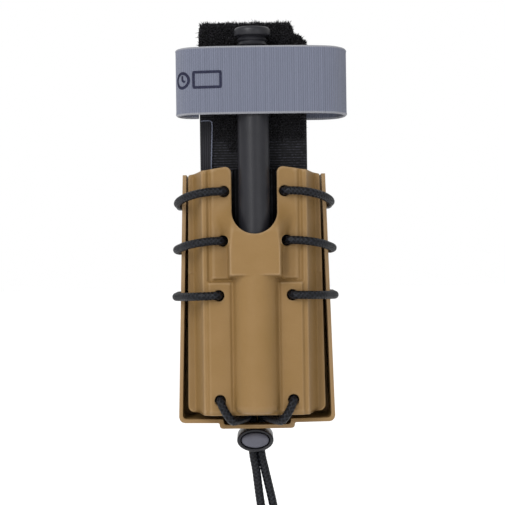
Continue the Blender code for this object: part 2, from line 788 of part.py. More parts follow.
def build_band():
    """The band, folded back and forth in flat layers. Inside the shell its front edges are squeezed in."""
    fold = BAND_PITCH / 2
    path = []
    for layer in range(BAND_LAYERS):
        y = BAND_BACK - BAND_THICK / 2 - layer * BAND_PITCH
        upward = layer % 2 == 0
        low, high = BAND_BOTTOM + fold + BAND_THICK / 2, BAND_TOP - fold - BAND_THICK / 2
        path += [(y, low), (y, high)] if upward else [(y, high), (y, low)]
        if layer < BAND_LAYERS - 1:
            end = high if upward else low
            half_turn = arc((y - fold, end), fold, 0, 180 if upward else -180, 6)
            path += half_turn[1:-1]
    band = strip("band", path, BAND_HALF, BAND_THICK, YZ_PLANE)
    cutters = []
    for side in (-1, 1):
        slope = [(FLANGE_INNER, FLANGE_OUT), (FACE_HALF, FACE_OUT)]
        squeezed = [(side * (x - SHELL_WALL - 2 * GAP), y + SHELL_WALL + GAP) for x, y in slope]
        wedge = [*squeezed, (side * TRAY_TOP_HALF, FACE_OUT), (side * TRAY_TOP_HALF, squeezed[0][1])]
        cutters.append(plate("cut_band_edge", wedge, BAND_BOTTOM - MM, EAR_TOP + 2 * MM, XY_PLANE))
    cut(band, *cutters)
    return place(band, PARTS, BLACK_WEBBING, PIVOT)


def build_base_plate():
    corners = [(-15, -30), (15, -30), (15, 46), (-15, 46)]
    outline = rounded([(x * MM, z * MM) for x, z in corners], 2 * MM)
    base = plate("base_plate", outline, BASE_BACK, BASE_BACK - BASE_THICK)
    return place(base, PARTS, BLACK_POLYMER, PIVOT)


def rod_profile():
    """(radius, height) pairs from the top down: knob, ribbed neck, body, ribbed neck, knob."""
    knob = 3.4 * MM
    rib = 1.8 * MM
    ribs = 5
    crest = NECK_RADIUS + 0.5 * MM
    head = [(0, ROD_TOP), (KNOB_RADIUS - 0.9 * MM, ROD_TOP), (KNOB_RADIUS, ROD_TOP - 0.9 * MM)]
    head += [(KNOB_RADIUS, ROD_TOP - knob + 0.5 * MM), (NECK_RADIUS, ROD_TOP - knob)]
    height = ROD_TOP - knob
    for _ in range(ribs):
        head += [(NECK_RADIUS, height - 0.8 * MM), (crest, height - 1.3 * MM)]
        height -= rib
        head += [(NECK_RADIUS, height)]
    head += [(ROD_RADIUS, height - 1.2 * MM)]
    tail = [(ROD_RADIUS, ROD_BOTTOM + 0.9 * MM), (ROD_RADIUS - 0.9 * MM, ROD_BOTTOM), (0, ROD_BOTTOM)]
    return head + tail


def build_windlass():
    rod = turned("windlass_rod", rod_profile(), (0, ROD_Y, 0), (0, 0, 1), 24)
    half = SLOT_HEIGHT / 2
    reach = 10 * MM
    corners = [(ROD_Y - half, SLOT_BOTTOM), (ROD_Y + half, SLOT_BOTTOM)]
    corners += [(ROD_Y + half, SLOT_TOP), (ROD_Y - half, SLOT_TOP)]
    slot = plate("cut_rod_slot", rounded(corners, half * 0.9), -reach, reach, YZ_PLANE)
    cut(rod, slot)
    return place(rod, PARTS, BLACK_POLYMER, PIVOT)


def build_inner_ribbon():
    """The ribbon comes up beside the rod, passes through its slot and goes down again."""
    thick = 1.2 * MM
    leg = 7.2 * MM
    bend = 1.6 * MM
    low = BASE_BACK - BASE_THICK - GAP
    half = [(leg, low), *arc((leg - bend, ROD_Y + bend), bend, 0, -90, 4)]
    path = half + [(-x, y) for x, y in reversed(half)]
    height = (SLOT_TOP - SLOT_BOTTOM) / 2 - 1.5 * MM
    at = (0, 0, (SLOT_TOP + SLOT_BOTTOM) / 2)
    ribbon = strip("inner_ribbon", path, height, thick, XY_PLANE, at)
    return place(ribbon, PARTS, BLACK_WEBBING, PIVOT)


def build_clip():
    """A flat base with two arms that hold the rod from both sides."""
    front = BASE_BACK - BASE_THICK
    inner = ROD_RADIUS + 0.35 * MM
    outer = inner + 1.9 * MM
    wing = 19.2 * MM
    grip = 40
    arm_out = arc((0, ROD_Y), outer, 0, -grip, 4)
    arm_in = arc((0, ROD_Y), inner, -grip, 0, 4)
    right = [(wing, BASE_BACK), (wing, front), (outer, front), *arm_out, *arm_in, (inner, front)]
    outline = right + [(-x, y) for x, y in reversed(right)]
    clip = plate("windlass_clip", outline, CLIP_BOTTOM, CLIP_TOP, XY_PLANE)
    return place(clip, PARTS, BLACK_POLYMER, PIVOT)


def build_buckle():
    """A flat buckle with two slots for the band."""
    outer = [(-BUCKLE_HALF, BUCKLE_BOTTOM), (BUCKLE_HALF, BUCKLE_BOTTOM)]
    outer += [(BUCKLE_HALF, BUCKLE_TOP), (-BUCKLE_HALF, BUCKLE_TOP)]
    front = BUCKLE_BACK - BUCKLE_THICK
    buckle = plate("buckle", rounded(outer, 3 * MM), BUCKLE_BACK, front)
    reach = 3 * MM
    cutters = []
    for top in (BUCKLE_TOP - BUCKLE_EDGE, BUCKLE_TOP - BUCKLE_EDGE - BUCKLE_SLOT - BUCKLE_BAR):
        low = (-BUCKLE_SLOT_HALF, front - reach, top - BUCKLE_SLOT)
        cutters.append(box("cut_buckle_slot", low, (BUCKLE_SLOT_HALF, BUCKLE_BACK + reach, top)))
    cut(buckle, *cutters)
    place(buckle, PARTS, BLACK_POLYMER, PIVOT)
    thick = 1.0 * MM
    back = BUCKLE_BACK + GAP + thick / 2
    ahead = front - GAP - thick / 2
    bend = (back - ahead) / 2
    turn_z = BUCKLE_TOP - BUCKLE_EDGE - 0.8 * MM
    path = [(ahead, -6 * MM), (ahead, -14 * MM), *arc((back - bend, turn_z), bend, 180, 360, 8)]
    path += [(back, -17.5 * MM), (back - 1.9 * MM, -12 * MM), (back - 1.9 * MM, -6 * MM)]
    keeper = strip("buckle_keeper", path, BAND_HALF - 1 * MM, thick, YZ_PLANE)
    place(keeper, PARTS, BLACK_WEBBING, PIVOT)


def build_time_strap():
    pivot = joint_empty("strap_open", (*STRAP_HINGE, (STRAP_BOTTOM + STRAP_TOP) / 2), PIVOT)
    half = (STRAP_TOP - STRAP_BOTTOM) / 2
    at = (0, 0, STRAP_BOTTOM + half)
    path = smooth([(x * MM, y * MM) for x, y in STRAP_ROUTE], 3)
    strap = strip("time_strap", path, half, STRAP_THICK, XY_PLANE, at)
    return place(strap, PARTS, GREY_STRAP, pivot)


# ---------------------------------------------------------------- cord lock


def moved(outline):
    return [(x + LOCK_X, z + LOCK_Z) for x, z in outline]


def build_cord_lock():
    slide = joint_empty("cord_lock_slide", (LOCK_X, EXIT_Y, LOCK_Z))
    barrel = plate("lock_barrel", moved(oval(LOCK_HALF_X, LOCK_HALF_Z)), LOCK_BACK, LOCK_FRONT)
    beyond = 4 * MM
    bore = plate("cut_bore", moved(oval(BORE_HALF_X, BORE_HALF_Z)), LOCK_BORE_END, LOCK_FRONT - beyond)
    half_slot = CORD_RADIUS + 0.5 * MM
    low = (LOCK_X - CORD_WINDOW_HALF - 0.1 * MM, EXIT_Y - half_slot, LOCK_Z - LOCK_HALF_Z - beyond)
    high = (LOCK_X + CORD_WINDOW_HALF + 0.1 * MM, EXIT_Y + half_slot, LOCK_Z + LOCK_HALF_Z + beyond)
    cut(barrel, bore, box("cut_barrel_slot", low, high))
    place(barrel, PARTS, BLACK_POLYMER, slide)
    press = joint_empty("lock_button_press", (LOCK_X, BUTTON_FRONT, LOCK_Z), slide)
    build_button(press, beyond)
    build_spring(slide)


def build_button(pivot, beyond):
    """The plunger: an oval block with a window for the cords and a domed front."""
    half_x, half_z = BORE_HALF_X - GAP, BORE_HALF_Z - GAP
    mesh = bpy.data.meshes.new("lock_button")
    work = bmesh.new()
    levels = ((BUTTON_BACK, 1.0), (BUTTON_FRONT + BUTTON_CROWN, 1.0))
    levels += ((BUTTON_FRONT + 0.3 * MM, 0.86), (BUTTON_FRONT, 0.5))
    bmesh.ops.create_cone(work, cap_ends=True, segments=LOCK_SIDES, radius1=1, radius2=1, depth=2)
    edges = [e for e in work.edges if abs(e.verts[0].co.z - e.verts[1].co.z) > 1]
    bmesh.ops.subdivide_edges(work, edges=edges, cuts=len(levels) - 2)
    for vertex in work.verts:
        level = round((vertex.co.z + 1) / 2 * (len(levels) - 1))
        y, share = levels[level]
        angle = math.atan2(vertex.co.y, vertex.co.x)
        x = LOCK_X + half_x * share * math.cos(angle)
        vertex.co = (x, y, LOCK_Z - half_z * share * math.sin(angle))
    bmesh.ops.recalc_face_normals(work, faces=work.faces)
    work.to_mesh(mesh)
    work.free()
    button = bpy.data.objects.new("lock_button", mesh)
    bpy.context.scene.collection.objects.link(button)
    low = (LOCK_X - CORD_WINDOW_HALF, WINDOW_FRONT, LOCK_Z - half_z - beyond)
    high = (LOCK_X + CORD_WINDOW_HALF, WINDOW_BACK, LOCK_Z + half_z + beyond)
    cut(button, box("cut_button_window", low, high))
    place(button, PARTS, BLACK_POLYMER, pivot)


def build_spring(parent):
    """A compression spring between the plunger and the barrel's closed end."""
    radius = 2.0 * MM
    wire = 0.25 * MM
    turns = 3.5
    per_turn = 10
    start = BUTTON_BACK + GAP + wire
    end = LOCK_BORE_END - GAP - wire
    steps = int(turns * per_turn)
    coil = []
    for step in range(steps + 1):
        angle = 2 * math.pi * step / per_turn
        y = start + (end - start) * step / steps
        coil.append((LOCK_X + radius * math.cos(angle), y, LOCK_Z + radius * math.sin(angle)))
    place(tube("lock_spring", coil, wire), PARTS, SPRING_STEEL, parent)


clear_scene()
PARTS = new_collection("laced_tourniquet_carrier")
CUTTERS = new_collection("cutters")
COYOTE = material("coyote_polymer", (0.30, 0.19, 0.085), 0.55)
BLACK_POLYMER = material("black_polymer", (0.035, 0.035, 0.04), 0.45)
SHOCK_CORD = material("shock_cord", (0.02, 0.02, 0.025), 0.85)
BLACK_WEBBING = material("black_webbing", (0.012, 0.012, 0.014), 0.95)
GREY_STRAP = material("grey_strap", (0.20, 0.21, 0.27), 0.9)
DARK_STEEL = material("dark_steel", (0.08, 0.08, 0.085), 0.35, 1.0)
SPRING_STEEL = material("spring_steel", (0.6, 0.6, 0.62), 0.25, 1.0)

build_belt_loop()
build_fasteners()
build_back_shell()
build_lacing_cord()
build_tails()
build_front_shell()
PIVOT = joint_empty("tourniquet_draw", (0, ROD_Y, 0))
build_band()
build_base_plate()
build_windlass()
build_inner_ribbon()
build_clip()
build_buckle()
build_time_strap()
build_cord_lock()
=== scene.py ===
"""Looks for the laced tourniquet carrier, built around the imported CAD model.

The frame is the CAD's: +X to the viewer's right, +Y back to the belt, +Z up. Shapes are in
millimetres, and mesh_piece() turns them into metres.
"""

import contextlib
import random
from math import ceil, cos, dist, exp, hypot, pi, radians, sin, sqrt

import bmesh
import bpy
from mathutils import Matrix, Vector, geometry, noise


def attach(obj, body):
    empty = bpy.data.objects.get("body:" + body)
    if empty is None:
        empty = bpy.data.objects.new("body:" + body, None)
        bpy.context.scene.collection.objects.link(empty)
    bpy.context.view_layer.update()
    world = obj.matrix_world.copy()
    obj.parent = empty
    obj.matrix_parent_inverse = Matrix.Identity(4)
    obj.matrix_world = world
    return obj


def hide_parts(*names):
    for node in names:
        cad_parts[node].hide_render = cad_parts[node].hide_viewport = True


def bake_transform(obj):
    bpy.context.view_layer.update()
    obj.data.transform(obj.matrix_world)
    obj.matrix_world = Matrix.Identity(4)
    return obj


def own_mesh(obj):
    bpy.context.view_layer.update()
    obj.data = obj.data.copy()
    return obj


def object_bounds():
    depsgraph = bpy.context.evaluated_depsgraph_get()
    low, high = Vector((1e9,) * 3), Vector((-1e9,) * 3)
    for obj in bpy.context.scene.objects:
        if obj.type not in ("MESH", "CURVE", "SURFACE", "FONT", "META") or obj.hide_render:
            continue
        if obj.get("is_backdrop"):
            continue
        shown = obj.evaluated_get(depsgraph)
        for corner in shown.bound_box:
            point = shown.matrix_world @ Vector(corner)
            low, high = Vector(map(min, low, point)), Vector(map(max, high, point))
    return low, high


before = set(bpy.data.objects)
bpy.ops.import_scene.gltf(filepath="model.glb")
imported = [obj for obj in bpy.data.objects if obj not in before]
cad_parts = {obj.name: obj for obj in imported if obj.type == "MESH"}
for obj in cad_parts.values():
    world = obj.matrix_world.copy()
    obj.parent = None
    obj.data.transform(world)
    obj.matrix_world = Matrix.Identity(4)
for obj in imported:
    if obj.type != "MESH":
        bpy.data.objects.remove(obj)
cad_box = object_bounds()

MM = 0.001
TAU = 2 * pi

# Depths and sizes shared with the CAD, in mm.
TRAY_BACK = -9.8
TRAY_RIM = -30.0
TRAY_WALL = 2.0
TRAY_TOP, TRAY_FLOOR = 45.3, -46.3
TRAY_TOP_HALF, TRAY_FLOOR_HALF = 26.3, 28.9
FACE_OUT = -42.2
FLANGE_OUT = -29.5
SHELL_WALL = 1.6
CAD_PANEL_RISE = 0.7
ROD_Y = -42.6
CORD_RADIUS = 1.5
CORD_STANDOFF = 1.85
LACE_HOLE_RADIUS = 1.95
FRONT_HOLES = ((10.9, 38.5), (11.4, 20.7), (13.2, 1.0))
FOOT_HOLE = (13.2, -36.7)
BACK_HOLES = ((21.6, 34.4), (21.6, 17.4), (21.6, 0.3))
EXIT_Y = -20.0

# Pitches of the woven ribs and threads, in mm.
BRAID_PITCH, BRAID_STARTS = 1.5, 5
BAND_RIB_PITCH, STRAP_RIB_PITCH, THREAD_PITCH = 0.98, 0.79, 0.55

ACROSS = Vector((1, 0, 0))
UP = Vector((0, 0, 1))


# Helpers.


def link(obj):
    bpy.context.scene.collection.objects.link(obj)
    return obj


@contextlib.contextmanager
def editing(mesh):
    """The mesh as a bmesh, which is written back at the end."""
    work = bmesh.new()
    work.from_mesh(mesh)
    yield work
    work.to_mesh(mesh)
    work.free()


def shade(mesh, angle=38):
    """Smooth shading, with edges sharper than the angle kept sharp."""
    with editing(mesh) as work:
        for edge in work.edges:
            sharp = edge.calc_face_angle(0) >= radians(angle)
            edge.smooth = len(edge.link_faces) == 2 and not sharp
        for face in work.faces:
            face.smooth = True


def mesh_piece(name, verts, faces, body, slot, replaces, uvs=None, angle=38):
    """A piece from points in mm. It rides on a body and stands for the named CAD nodes."""
    mesh = bpy.data.meshes.new(name)
    mesh.from_pydata([Vector(v) * MM for v in verts], [], faces)
    if uvs:
        layer = mesh.uv_layers.new(name="UVMap")
        for loop in mesh.loops:
            layer.data[loop.index].uv = uvs[loop.vertex_index]
    mesh.validate()
    with editing(mesh) as work:
        bmesh.ops.recalc_face_normals(work, faces=work.faces)
    shade(mesh, angle)
    return finish_piece(link(bpy.data.objects.new(name, mesh)), body, slot, replaces)


def finish_piece(obj, body, slot, replaces):
    """The piece's body, CAD nodes and finish. One given no body gets none here."""
    if body:
        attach(obj, body)
    if replaces:
        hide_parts(*replaces)
    obj.data.materials.clear()
    obj.data.materials.append(FINISHES[slot])
    return obj


def frames_along(points):
    """A tangent and two normals at each point, carried along without twist."""
    tangents = []
    for i in range(len(points)):
        a, b = points[max(i - 1, 0)], points[min(i + 1, len(points) - 1)]
        tangents.append((b - a).normalized())
    first = tangents[0].orthogonal().normalized()
    made = []
    for tangent in tangents:
        first = (first - tangent * first.dot(tangent)).normalized()
        made.append((tangent, first, tangent.cross(first)))
    return made


def smooth(points, pitch):
    """Points about one pitch apart on a centripetal Catmull-Rom curve through the given points."""
    knots = [Vector(p) for p in points]
    ends = [2 * knots[0] - knots[1], *knots, 2 * knots[-1] - knots[-2]]
    made = []
    for a, b, c, d in zip(ends, ends[1:], ends[2:], ends[3:]):
        t1 = (b - a).length ** 0.5
        t2 = t1 + (c - b).length ** 0.5
        t3 = t2 + (d - c).length ** 0.5
        steps = max(1, round((c - b).length / pitch))
        for step in range(steps):
            t = t1 + (t2 - t1) * step / steps
            p = a * (t1 - t) / t1 + b * t / t1
            q = b * (t2 - t) / (t2 - t1) + c * (t - t1) / (t2 - t1)
            r = c * (t3 - t) / (t3 - t2) + d * (t - t2) / (t3 - t2)
            s = p * (t2 - t) / t2 + q * t / t2
            u = q * (t3 - t) / (t3 - t1) + r * (t - t1) / (t3 - t1)
            made.append(s * (t2 - t) / (t2 - t1) + u * (t - t1) / (t2 - t1))
    return [*made, knots[-1]]


def arc(centre, radius, start, end, steps):
    angles = [radians(start + (end - start) * i / steps) for i in range(steps + 1)]
    return [(centre[0] + radius * cos(a), centre[1] + radius * sin(a)) for a in angles]


def ring(radius, count):
    turns = [TAU * k / count for k in range(count)]
    return [(radius * cos(turn), radius * sin(turn)) for turn in turns]


def ramp(value, start, end):
    """From 0 at the start to 1 at the end, in a straight line."""
    return min(max((value - start) / (end - start), 0.0), 1.0)


def ease(value, start, end):
    """A ramp that starts and ends gently."""
    t = ramp(value, start, end)
    return t * t * (3 - 2 * t)


def rings_to_faces(count, sides, closed=False):
    """Quads between rings of equal size, and a cap at each end unless the rings are closed."""
    faces = []
    for i in range(count if closed else count - 1):
        j = (i + 1) % count
        for k in range(sides):
            m = (k + 1) % sides
            faces.append((i * sides + k, i * sides + m, j * sides + m, j * sides + k))
    if not closed:
        faces.append(tuple(reversed(range(sides))))
        faces.append(tuple(range((count - 1) * sides, count * sides)))
    return faces


def braided(
    name, route, radius, replaces, body="carrier", slot="shock_cord", sides=20, pitch=0.28
):
    """A braided cord: two sets of strands wind opposite ways round the tube."""
    points = smooth(route, pitch)
    verts, uvs = [], []
    run = 0.0
    last = points[0]
    for point, (_, one, two) in zip(points, frames_along(points)):
        run += (point - last).length
        last = point
        for k in range(sides):
            share = k / sides
            left = sin(TAU * (run / BRAID_PITCH + BRAID_STARTS * share))
            right = sin(TAU * (run / BRAID_PITCH - BRAID_STARTS * share))
            r = radius + 0.11 * (max(left, right) - 0.6)
            turn = TAU * share
            verts.append(point + (one * cos(turn) + two * sin(turn)) * r)
            uvs.append((run, share if share <= 0.5 else 1 - share))
    faces = rings_to_faces(len(points), sides)
    return mesh_piece(name, verts, faces, body, slot, replaces, uvs, angle=80), points


def strip_path(points, width):
    """(centre, normal, width direction) at each of a line of points, for webbing()."""
    made = []
    for i, point in enumerate(points):
        along = (points[min(i + 1, len(points) - 1)] - points[max(i - 1, 0)]).normalized()
        made.append((point, along.cross(width).normalized(), width))
    return made


def even(half):
    """Edges that stay the same distance from a strip's middle."""
    return lambda run, centre: (-half, half)


def webbing(
    name, path, edges, thick, replaces, relief, across=24, body="tourniquet", slot="black_webbing"
):
    """A flat strip with rounded selvedges, along a strip_path().

    edges gives its two edges at a step, relief the rise of a point on its surface, and across
    the number of points over its width.
    """
    verts, uvs = [], []
    run = 0.0
    last = path[0][0]
    for centre, normal, width in path:
        run += (centre - last).length
        last = centre
        low, high = edges(run, centre)
        for side in (1, -1):
            for k in range(across):
                share = k / (across - 1)
                if side < 0:
                    share = 1 - share
                # Points crowd towards the edges, where the selvedge turns.
                share = 0.5 - 0.5 * cos(pi * share)
                v = low + (high - low) * share
                gap = min(v - low, high - v)
                fullness = sqrt(max(0.0, 1 - (1 - min(gap / (thick * 0.6), 1.0)) ** 2))
                rise = thick / 2 * fullness + relief(run, v, side, centre) * fullness
                verts.append(centre + width * v + normal * side * rise)
                uvs.append((run, v))
    faces = rings_to_faces(len(path), across * 2)
    return mesh_piece(name, verts, faces, body, slot, replaces, uvs, angle=75)


def revolved(name, profile, at, sides, body, slot, replaces):
    """A solid of revolution about Z from (radius, height) pairs, with its two ends on the axis."""
    verts = [Vector(at) + Vector((*p, h)) for r, h in profile for p in ring(r, sides)]
    return mesh_piece(name, verts, rings_to_faces(len(profile), sides), body, slot, replaces)


def softened(node, body, slot, width, segments=3):
    """A copy of a CAD node with its flat faces joined again and its edges rounded."""
    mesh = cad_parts[node].data.copy()
    obj = link(bpy.data.objects.new(node + "_finished", mesh))
    with editing(mesh) as work:
        bmesh.ops.remove_doubles(work, verts=work.verts, dist=0.002 * MM)
        kept = {"verts": work.verts, "edges": work.edges, "delimit": set()}
        bmesh.ops.dissolve_limit(work, angle_limit=radians(1.0), **kept)
        bmesh.ops.recalc_face_normals(work, faces=work.faces)
    bevel = obj.modifiers.new("Edges", "BEVEL")
    bevel.width = width * MM
    bevel.segments = segments
    bevel.limit_method = "ANGLE"
    bevel.angle_limit = radians(25)
    bevel.use_clamp_overlap = True
    apply_modifiers(obj)
    shade(obj.data)
    return finish_piece(obj, body, slot, [node])


def apply_modifiers(obj):
    bpy.context.view_layer.update()
    made = bpy.data.meshes.new_from_object(obj.evaluated_get(bpy.context.evaluated_depsgraph_get()))
    obj.modifiers.clear()
    obj.data = made


# Materials.


class Paint:
    """A material and short ways to add nodes to it."""

    def __init__(self, name, colour, roughness, gloss=0.5, **settings):
        self.material = bpy.data.materials.new(name)
        self.material.use_nodes = True
        self.tree = self.material.node_tree
        self.shader = self.tree.nodes["Principled BSDF"]
        self.set("Base Color", (*colour, 1))
        self.set("Roughness", roughness)
        self.set("Specular IOR Level", gloss)
        for key, value in settings.items():
            self.set(key.replace("_", " "), value)

    def plug(self, socket, value):
        """Links another node's socket to this one, or sets a plain value on it."""
        if isinstance(value, bpy.types.NodeSocket):
            self.tree.links.new(value, socket)
        else:
            socket.default_value = value

    def set(self, socket, value):
        self.plug(self.shader.inputs[socket], value)

    def add(self, kind, inputs, **settings):
        made = self.tree.nodes.new(kind)
        for key, value in settings.items():
            setattr(made, key, value)
        for key, value in inputs.items():
            self.plug(made.inputs[key], value)
        return made

    def math(self, operation, *values):
        return self.add("ShaderNodeMath", dict(enumerate(values)), operation=operation).outputs[0]

    def plus(self, one, two):
        return self.math("ADD", one, two)

    def times(self, one, two):
        return self.math("MULTIPLY", one, two)

    def wave(self, value, pitch):
        """A sine along a coordinate in mm."""
        return self.math("SINE", self.times(value, TAU / pitch))

    def place(self, scale):
        """The piece's own coordinates in mm, times the scale."""
        source = self.add("ShaderNodeTexCoord", {}).outputs["Object"]
        inputs = {"Vector": source, "Scale": [s / MM for s in scale]}
        return self.add("ShaderNodeMapping", inputs).outputs[0]

    def uv(self):
        """The distance along the piece and the place across it."""
        source = self.add("ShaderNodeUVMap", {}, uv_map="UVMap").outputs[0]
        return self.add("ShaderNodeSeparateXYZ", {0: source}).outputs[:2]

    def noise(self, scale, detail=3.0, roughness=0.5):
        place = self.place(scale if isinstance(scale, tuple) else (scale,) * 3)
        inputs = {"Vector": place, "Scale": 1.0, "Detail": detail, "Roughness": roughness}
        return self.add("ShaderNodeTexNoise", inputs).outputs["Fac"]

    def band(self, value, low, high, to_low=0.0, to_high=1.0):
        """The value's place between low and high, as a place between to_low and to_high."""
        inputs = {"Value": value, 1: low, 2: high, 3: to_low, 4: to_high}
        return self.add("ShaderNodeMapRange", inputs, clamp=True).outputs[0]

    def mix(self, factor, a, b):
        a, b = ((*c, 1) if isinstance(c, tuple) else c for c in (a, b))
        return self.add("ShaderNodeMix", {0: factor, 6: a, 7: b}, data_type="RGBA").outputs[2]

    def coat(self, factor, a, b):
        """The base colour, as a mix of two."""
        self.set("Base Color", self.mix(factor, a, b))

    def bump(self, height, distance, strength):
        """distance is the height of the bump in mm."""
        inputs = {"Height": height, "Distance": distance * MM, "Strength": strength}
        self.set("Normal", self.add("ShaderNodeBump", inputs).outputs[0])


def tone(colour, factor):
    return tuple(c * factor for c in colour)


def coyote():
    """Moulded polymer: a fine grain, faint flow lines across, and slightly paler edges."""
    paint = Paint("coyote_polymer", COYOTE, 0.55, 0.18)
    patches = paint.noise(0.09, 4)
    flow = paint.noise((0.25, 0.8, 2.6), 3)
    grain = paint.noise(7.0, 2)
    speck = paint.noise(2.2, 4, 0.7)
    colour = paint.mix(paint.band(patches, 0.3, 0.7), COYOTE_DEEP, tone(COYOTE, 1.04))
    colour = paint.mix(paint.band(speck, 0.55, 0.8, 0, 0.35), colour, tone(COYOTE, 0.80))
    point = paint.add("ShaderNodeNewGeometry", {}).outputs["Pointiness"]
    worn = paint.band(point, 0.508, 0.548, 0, 0.75)
    colour = paint.mix(worn, colour, COYOTE_WORN)
    paint.set("Base Color", colour)
    paint.set("Roughness", paint.band(grain, 0.2, 0.8, 0.48, 0.66))
    paint.bump(paint.plus(paint.times(grain, 0.6), paint.times(flow, 0.9)), 0.10, 0.5)
    return paint.material


def polymer(name, colour, roughness):
    """Moulded black plastic with a soft sheen and fine scuffs."""
    paint = Paint(name, colour, roughness, 0.2)
    patches = paint.noise(0.2, 3)
    grain = paint.noise(9.0, 2)
    scuffs = paint.noise((3.0, 3.0, 0.35), 4, 0.7)
    base = paint.mix(paint.band(patches, 0.3, 0.7), tone(colour, 0.9), tone(colour, 1.12))
    scuffed = paint.band(scuffs, 0.6, 0.75, 0, 0.5)
    paint.coat(scuffed, base, tone(colour, 1.8))
    paint.set("Roughness", paint.band(scuffs, 0.3, 0.7, roughness - 0.06, roughness + 0.10))
    paint.bump(grain, 0.05, 0.4)
    return paint.material


def cord_finish():
    """Braided sheath: painted highlight in flecks where a strand comes to the top, and painted
    shade in the gaps between.
    """
    paint = Paint("shock_cord", CORD, 0.38, 0.12)
    run, share = paint.uv()
    along = paint.times(run, TAU / BRAID_PITCH)
    around = paint.times(share, TAU * BRAID_STARTS)
    left = paint.math("SINE", paint.plus(along, around))
    right = paint.math("SINE", paint.math("SUBTRACT", along, around))
    top = paint.math("MAXIMUM", left, right)
    fleck = paint.noise(1.6, 3, 0.7)
    # Painted highlight on the strand crests, broken into flecks by noise, over painted shade in the
    # gaps between strands.
    light = paint.times(paint.band(top, 0.2, 1.0), paint.band(fleck, 0.35, 0.7))
    paint.coat(light, tone(CORD, 0.4), tone(CORD, 6.0))
    paint.bump(paint.plus(top, paint.times(paint.wave(run, 0.3), 0.25)), 0.08, 0.6)
    return paint.material


def webbing_finish(name, colour, gloss):
    """Black woven nylon. The wide ribs are in the mesh, and the fine threads are here."""
    paint = Paint(name, colour, 0.6, gloss)
    run, across = paint.uv()
    warp = paint.wave(across, THREAD_PITCH)
    weft = paint.wave(run, BAND_RIB_PITCH)
    fleck = paint.noise(1.1, 4, 0.7)
    shine = paint.times(paint.band(weft, 0.2, 1.0), paint.band(fleck, 0.4, 0.7))
    paint.coat(shine, tone(colour, 0.4), tone(colour, 7.0))
    paint.bump(paint.times(warp, weft), 0.06, 0.6)
    return paint.material


def pile_finish():
    """Matt black pile with paler flecks."""
    paint = Paint("black_pile", PILE, 0.95, 0.1, Sheen_Weight=0.05)
    fleck = paint.band(paint.noise(1.8, 3, 0.8), 0.5, 0.75)
    paint.coat(fleck, tone(PILE, 0.5), tone(PILE, 8.0))
    return paint.material


def strap_finish():
    """Grey elastic strap: uneven ribs across it with painted highlight on their crests and painted
    shade in their troughs, fine threads along it and pale selvedges.
    """
    paint = Paint("grey_strap", STRAP, 0.85, 0.2, Sheen_Weight=0.2)
    run, across = paint.uv()
    rib = paint.wave(run, STRAP_RIB_PITCH)
    inputs = {"W": run, "Scale": 0.9, "Detail": 4.0}
    uneven = paint.add("ShaderNodeTexNoise", inputs, noise_dimensions="1D").outputs["Fac"]
    threads = paint.wave(across, THREAD_PITCH)
    streak = paint.noise((1.0, 1.0, 0.12), 3, 0.6)
    colour = paint.mix(paint.band(uneven, 0.32, 0.68), tone(STRAP, 0.93), tone(STRAP, 1.07))
    # Painted highlight on the rib crests, and painted shade in the troughs between ribs.
    colour = paint.mix(paint.band(rib, 0.0, 1.0, 0, 0.30), colour, tone(STRAP, 1.30))
    colour = paint.mix(paint.band(rib, -1.0, -0.3, 0.45, 0), colour, tone(STRAP, 0.58))
    stitch = paint.band(paint.times(rib, threads), 0.2, 1.0, 0, 0.35)
    colour = paint.mix(stitch, colour, tone(STRAP, 0.60))
    colour = paint.mix(paint.band(streak, 0.5, 0.75, 0, 0.3), colour, tone(STRAP, 0.8))
    edge = paint.band(paint.math("ABSOLUTE", across), STRAP_HALF - 0.85, STRAP_HALF - 0.5, 0, 0.6)
    paint.coat(edge, colour, SELVEDGE)
    paint.bump(paint.plus(paint.times(rib, 0.7), paint.times(threads, 0.5)), 0.05, 0.7)
    return paint.material


def metal(name, colour, roughness):
    """Steel with fine scratches."""
    paint = Paint(name, colour, roughness, Metallic=1.0)
    scratches = paint.noise((8.0, 1.0, 8.0), 4, 0.7)
    worn = paint.band(scratches, 0.4, 0.7)
    paint.coat(worn, tone(colour, 0.8), tone(colour, 1.2))
    paint.set("Roughness", paint.band(scratches, 0.3, 0.7, roughness, roughness + 0.15))
    paint.bump(scratches, 0.01, 0.5)
    return paint.material


COYOTE = (0.157, 0.0925, 0.034)
COYOTE_DEEP = (0.149, 0.086, 0.0275)
COYOTE_WORN = (0.215, 0.142, 0.072)
BLACK = (0.0100, 0.0100, 0.0125)
BUTTON = (0.070, 0.071, 0.088)
CORD = (0.0030, 0.0033, 0.0046)
WEBBING = (0.0058, 0.0058, 0.0075)
PILE = (0.0065, 0.0062, 0.0075)
STRAP = (0.090, 0.098, 0.132)
SELVEDGE = (0.21, 0.21, 0.22)
PRINT = (0.011, 0.012, 0.024)
STRAP_BOTTOM, STRAP_TOP = 65.6, 89.8
STRAP_HALF = (STRAP_TOP - STRAP_BOTTOM) / 2

FINISHES = {
    "coyote_polymer": coyote(),
    "black_polymer": polymer("black_polymer", BLACK, 0.36),
    "shock_cord": cord_finish(),
    "black_webbing": webbing_finish("black_webbing", WEBBING, 0.12),
    "grey_strap": strap_finish(),
    "dark_steel": metal("dark_steel", (0.05, 0.05, 0.055), 0.35),
    "spring_steel": metal("spring_steel", (0.55, 0.55, 0.57), 0.25),
}
PILE_FINISH = pile_finish()
SIDE_FINISH = polymer("side_strip_webbing", tone(WEBBING, 1.3), 0.7)
# The ribbon's webbing is painted much darker than the rest: painted shade for its run through the
# rod's slot.
RIBBON_SHADE_FINISH = webbing_finish("ribbon_webbing_painted_shade", tone(WEBBING, 0.2), 0.02)
BUTTON_FINISH = polymer("button_polymer", BUTTON, 0.45)

# Camera and light.

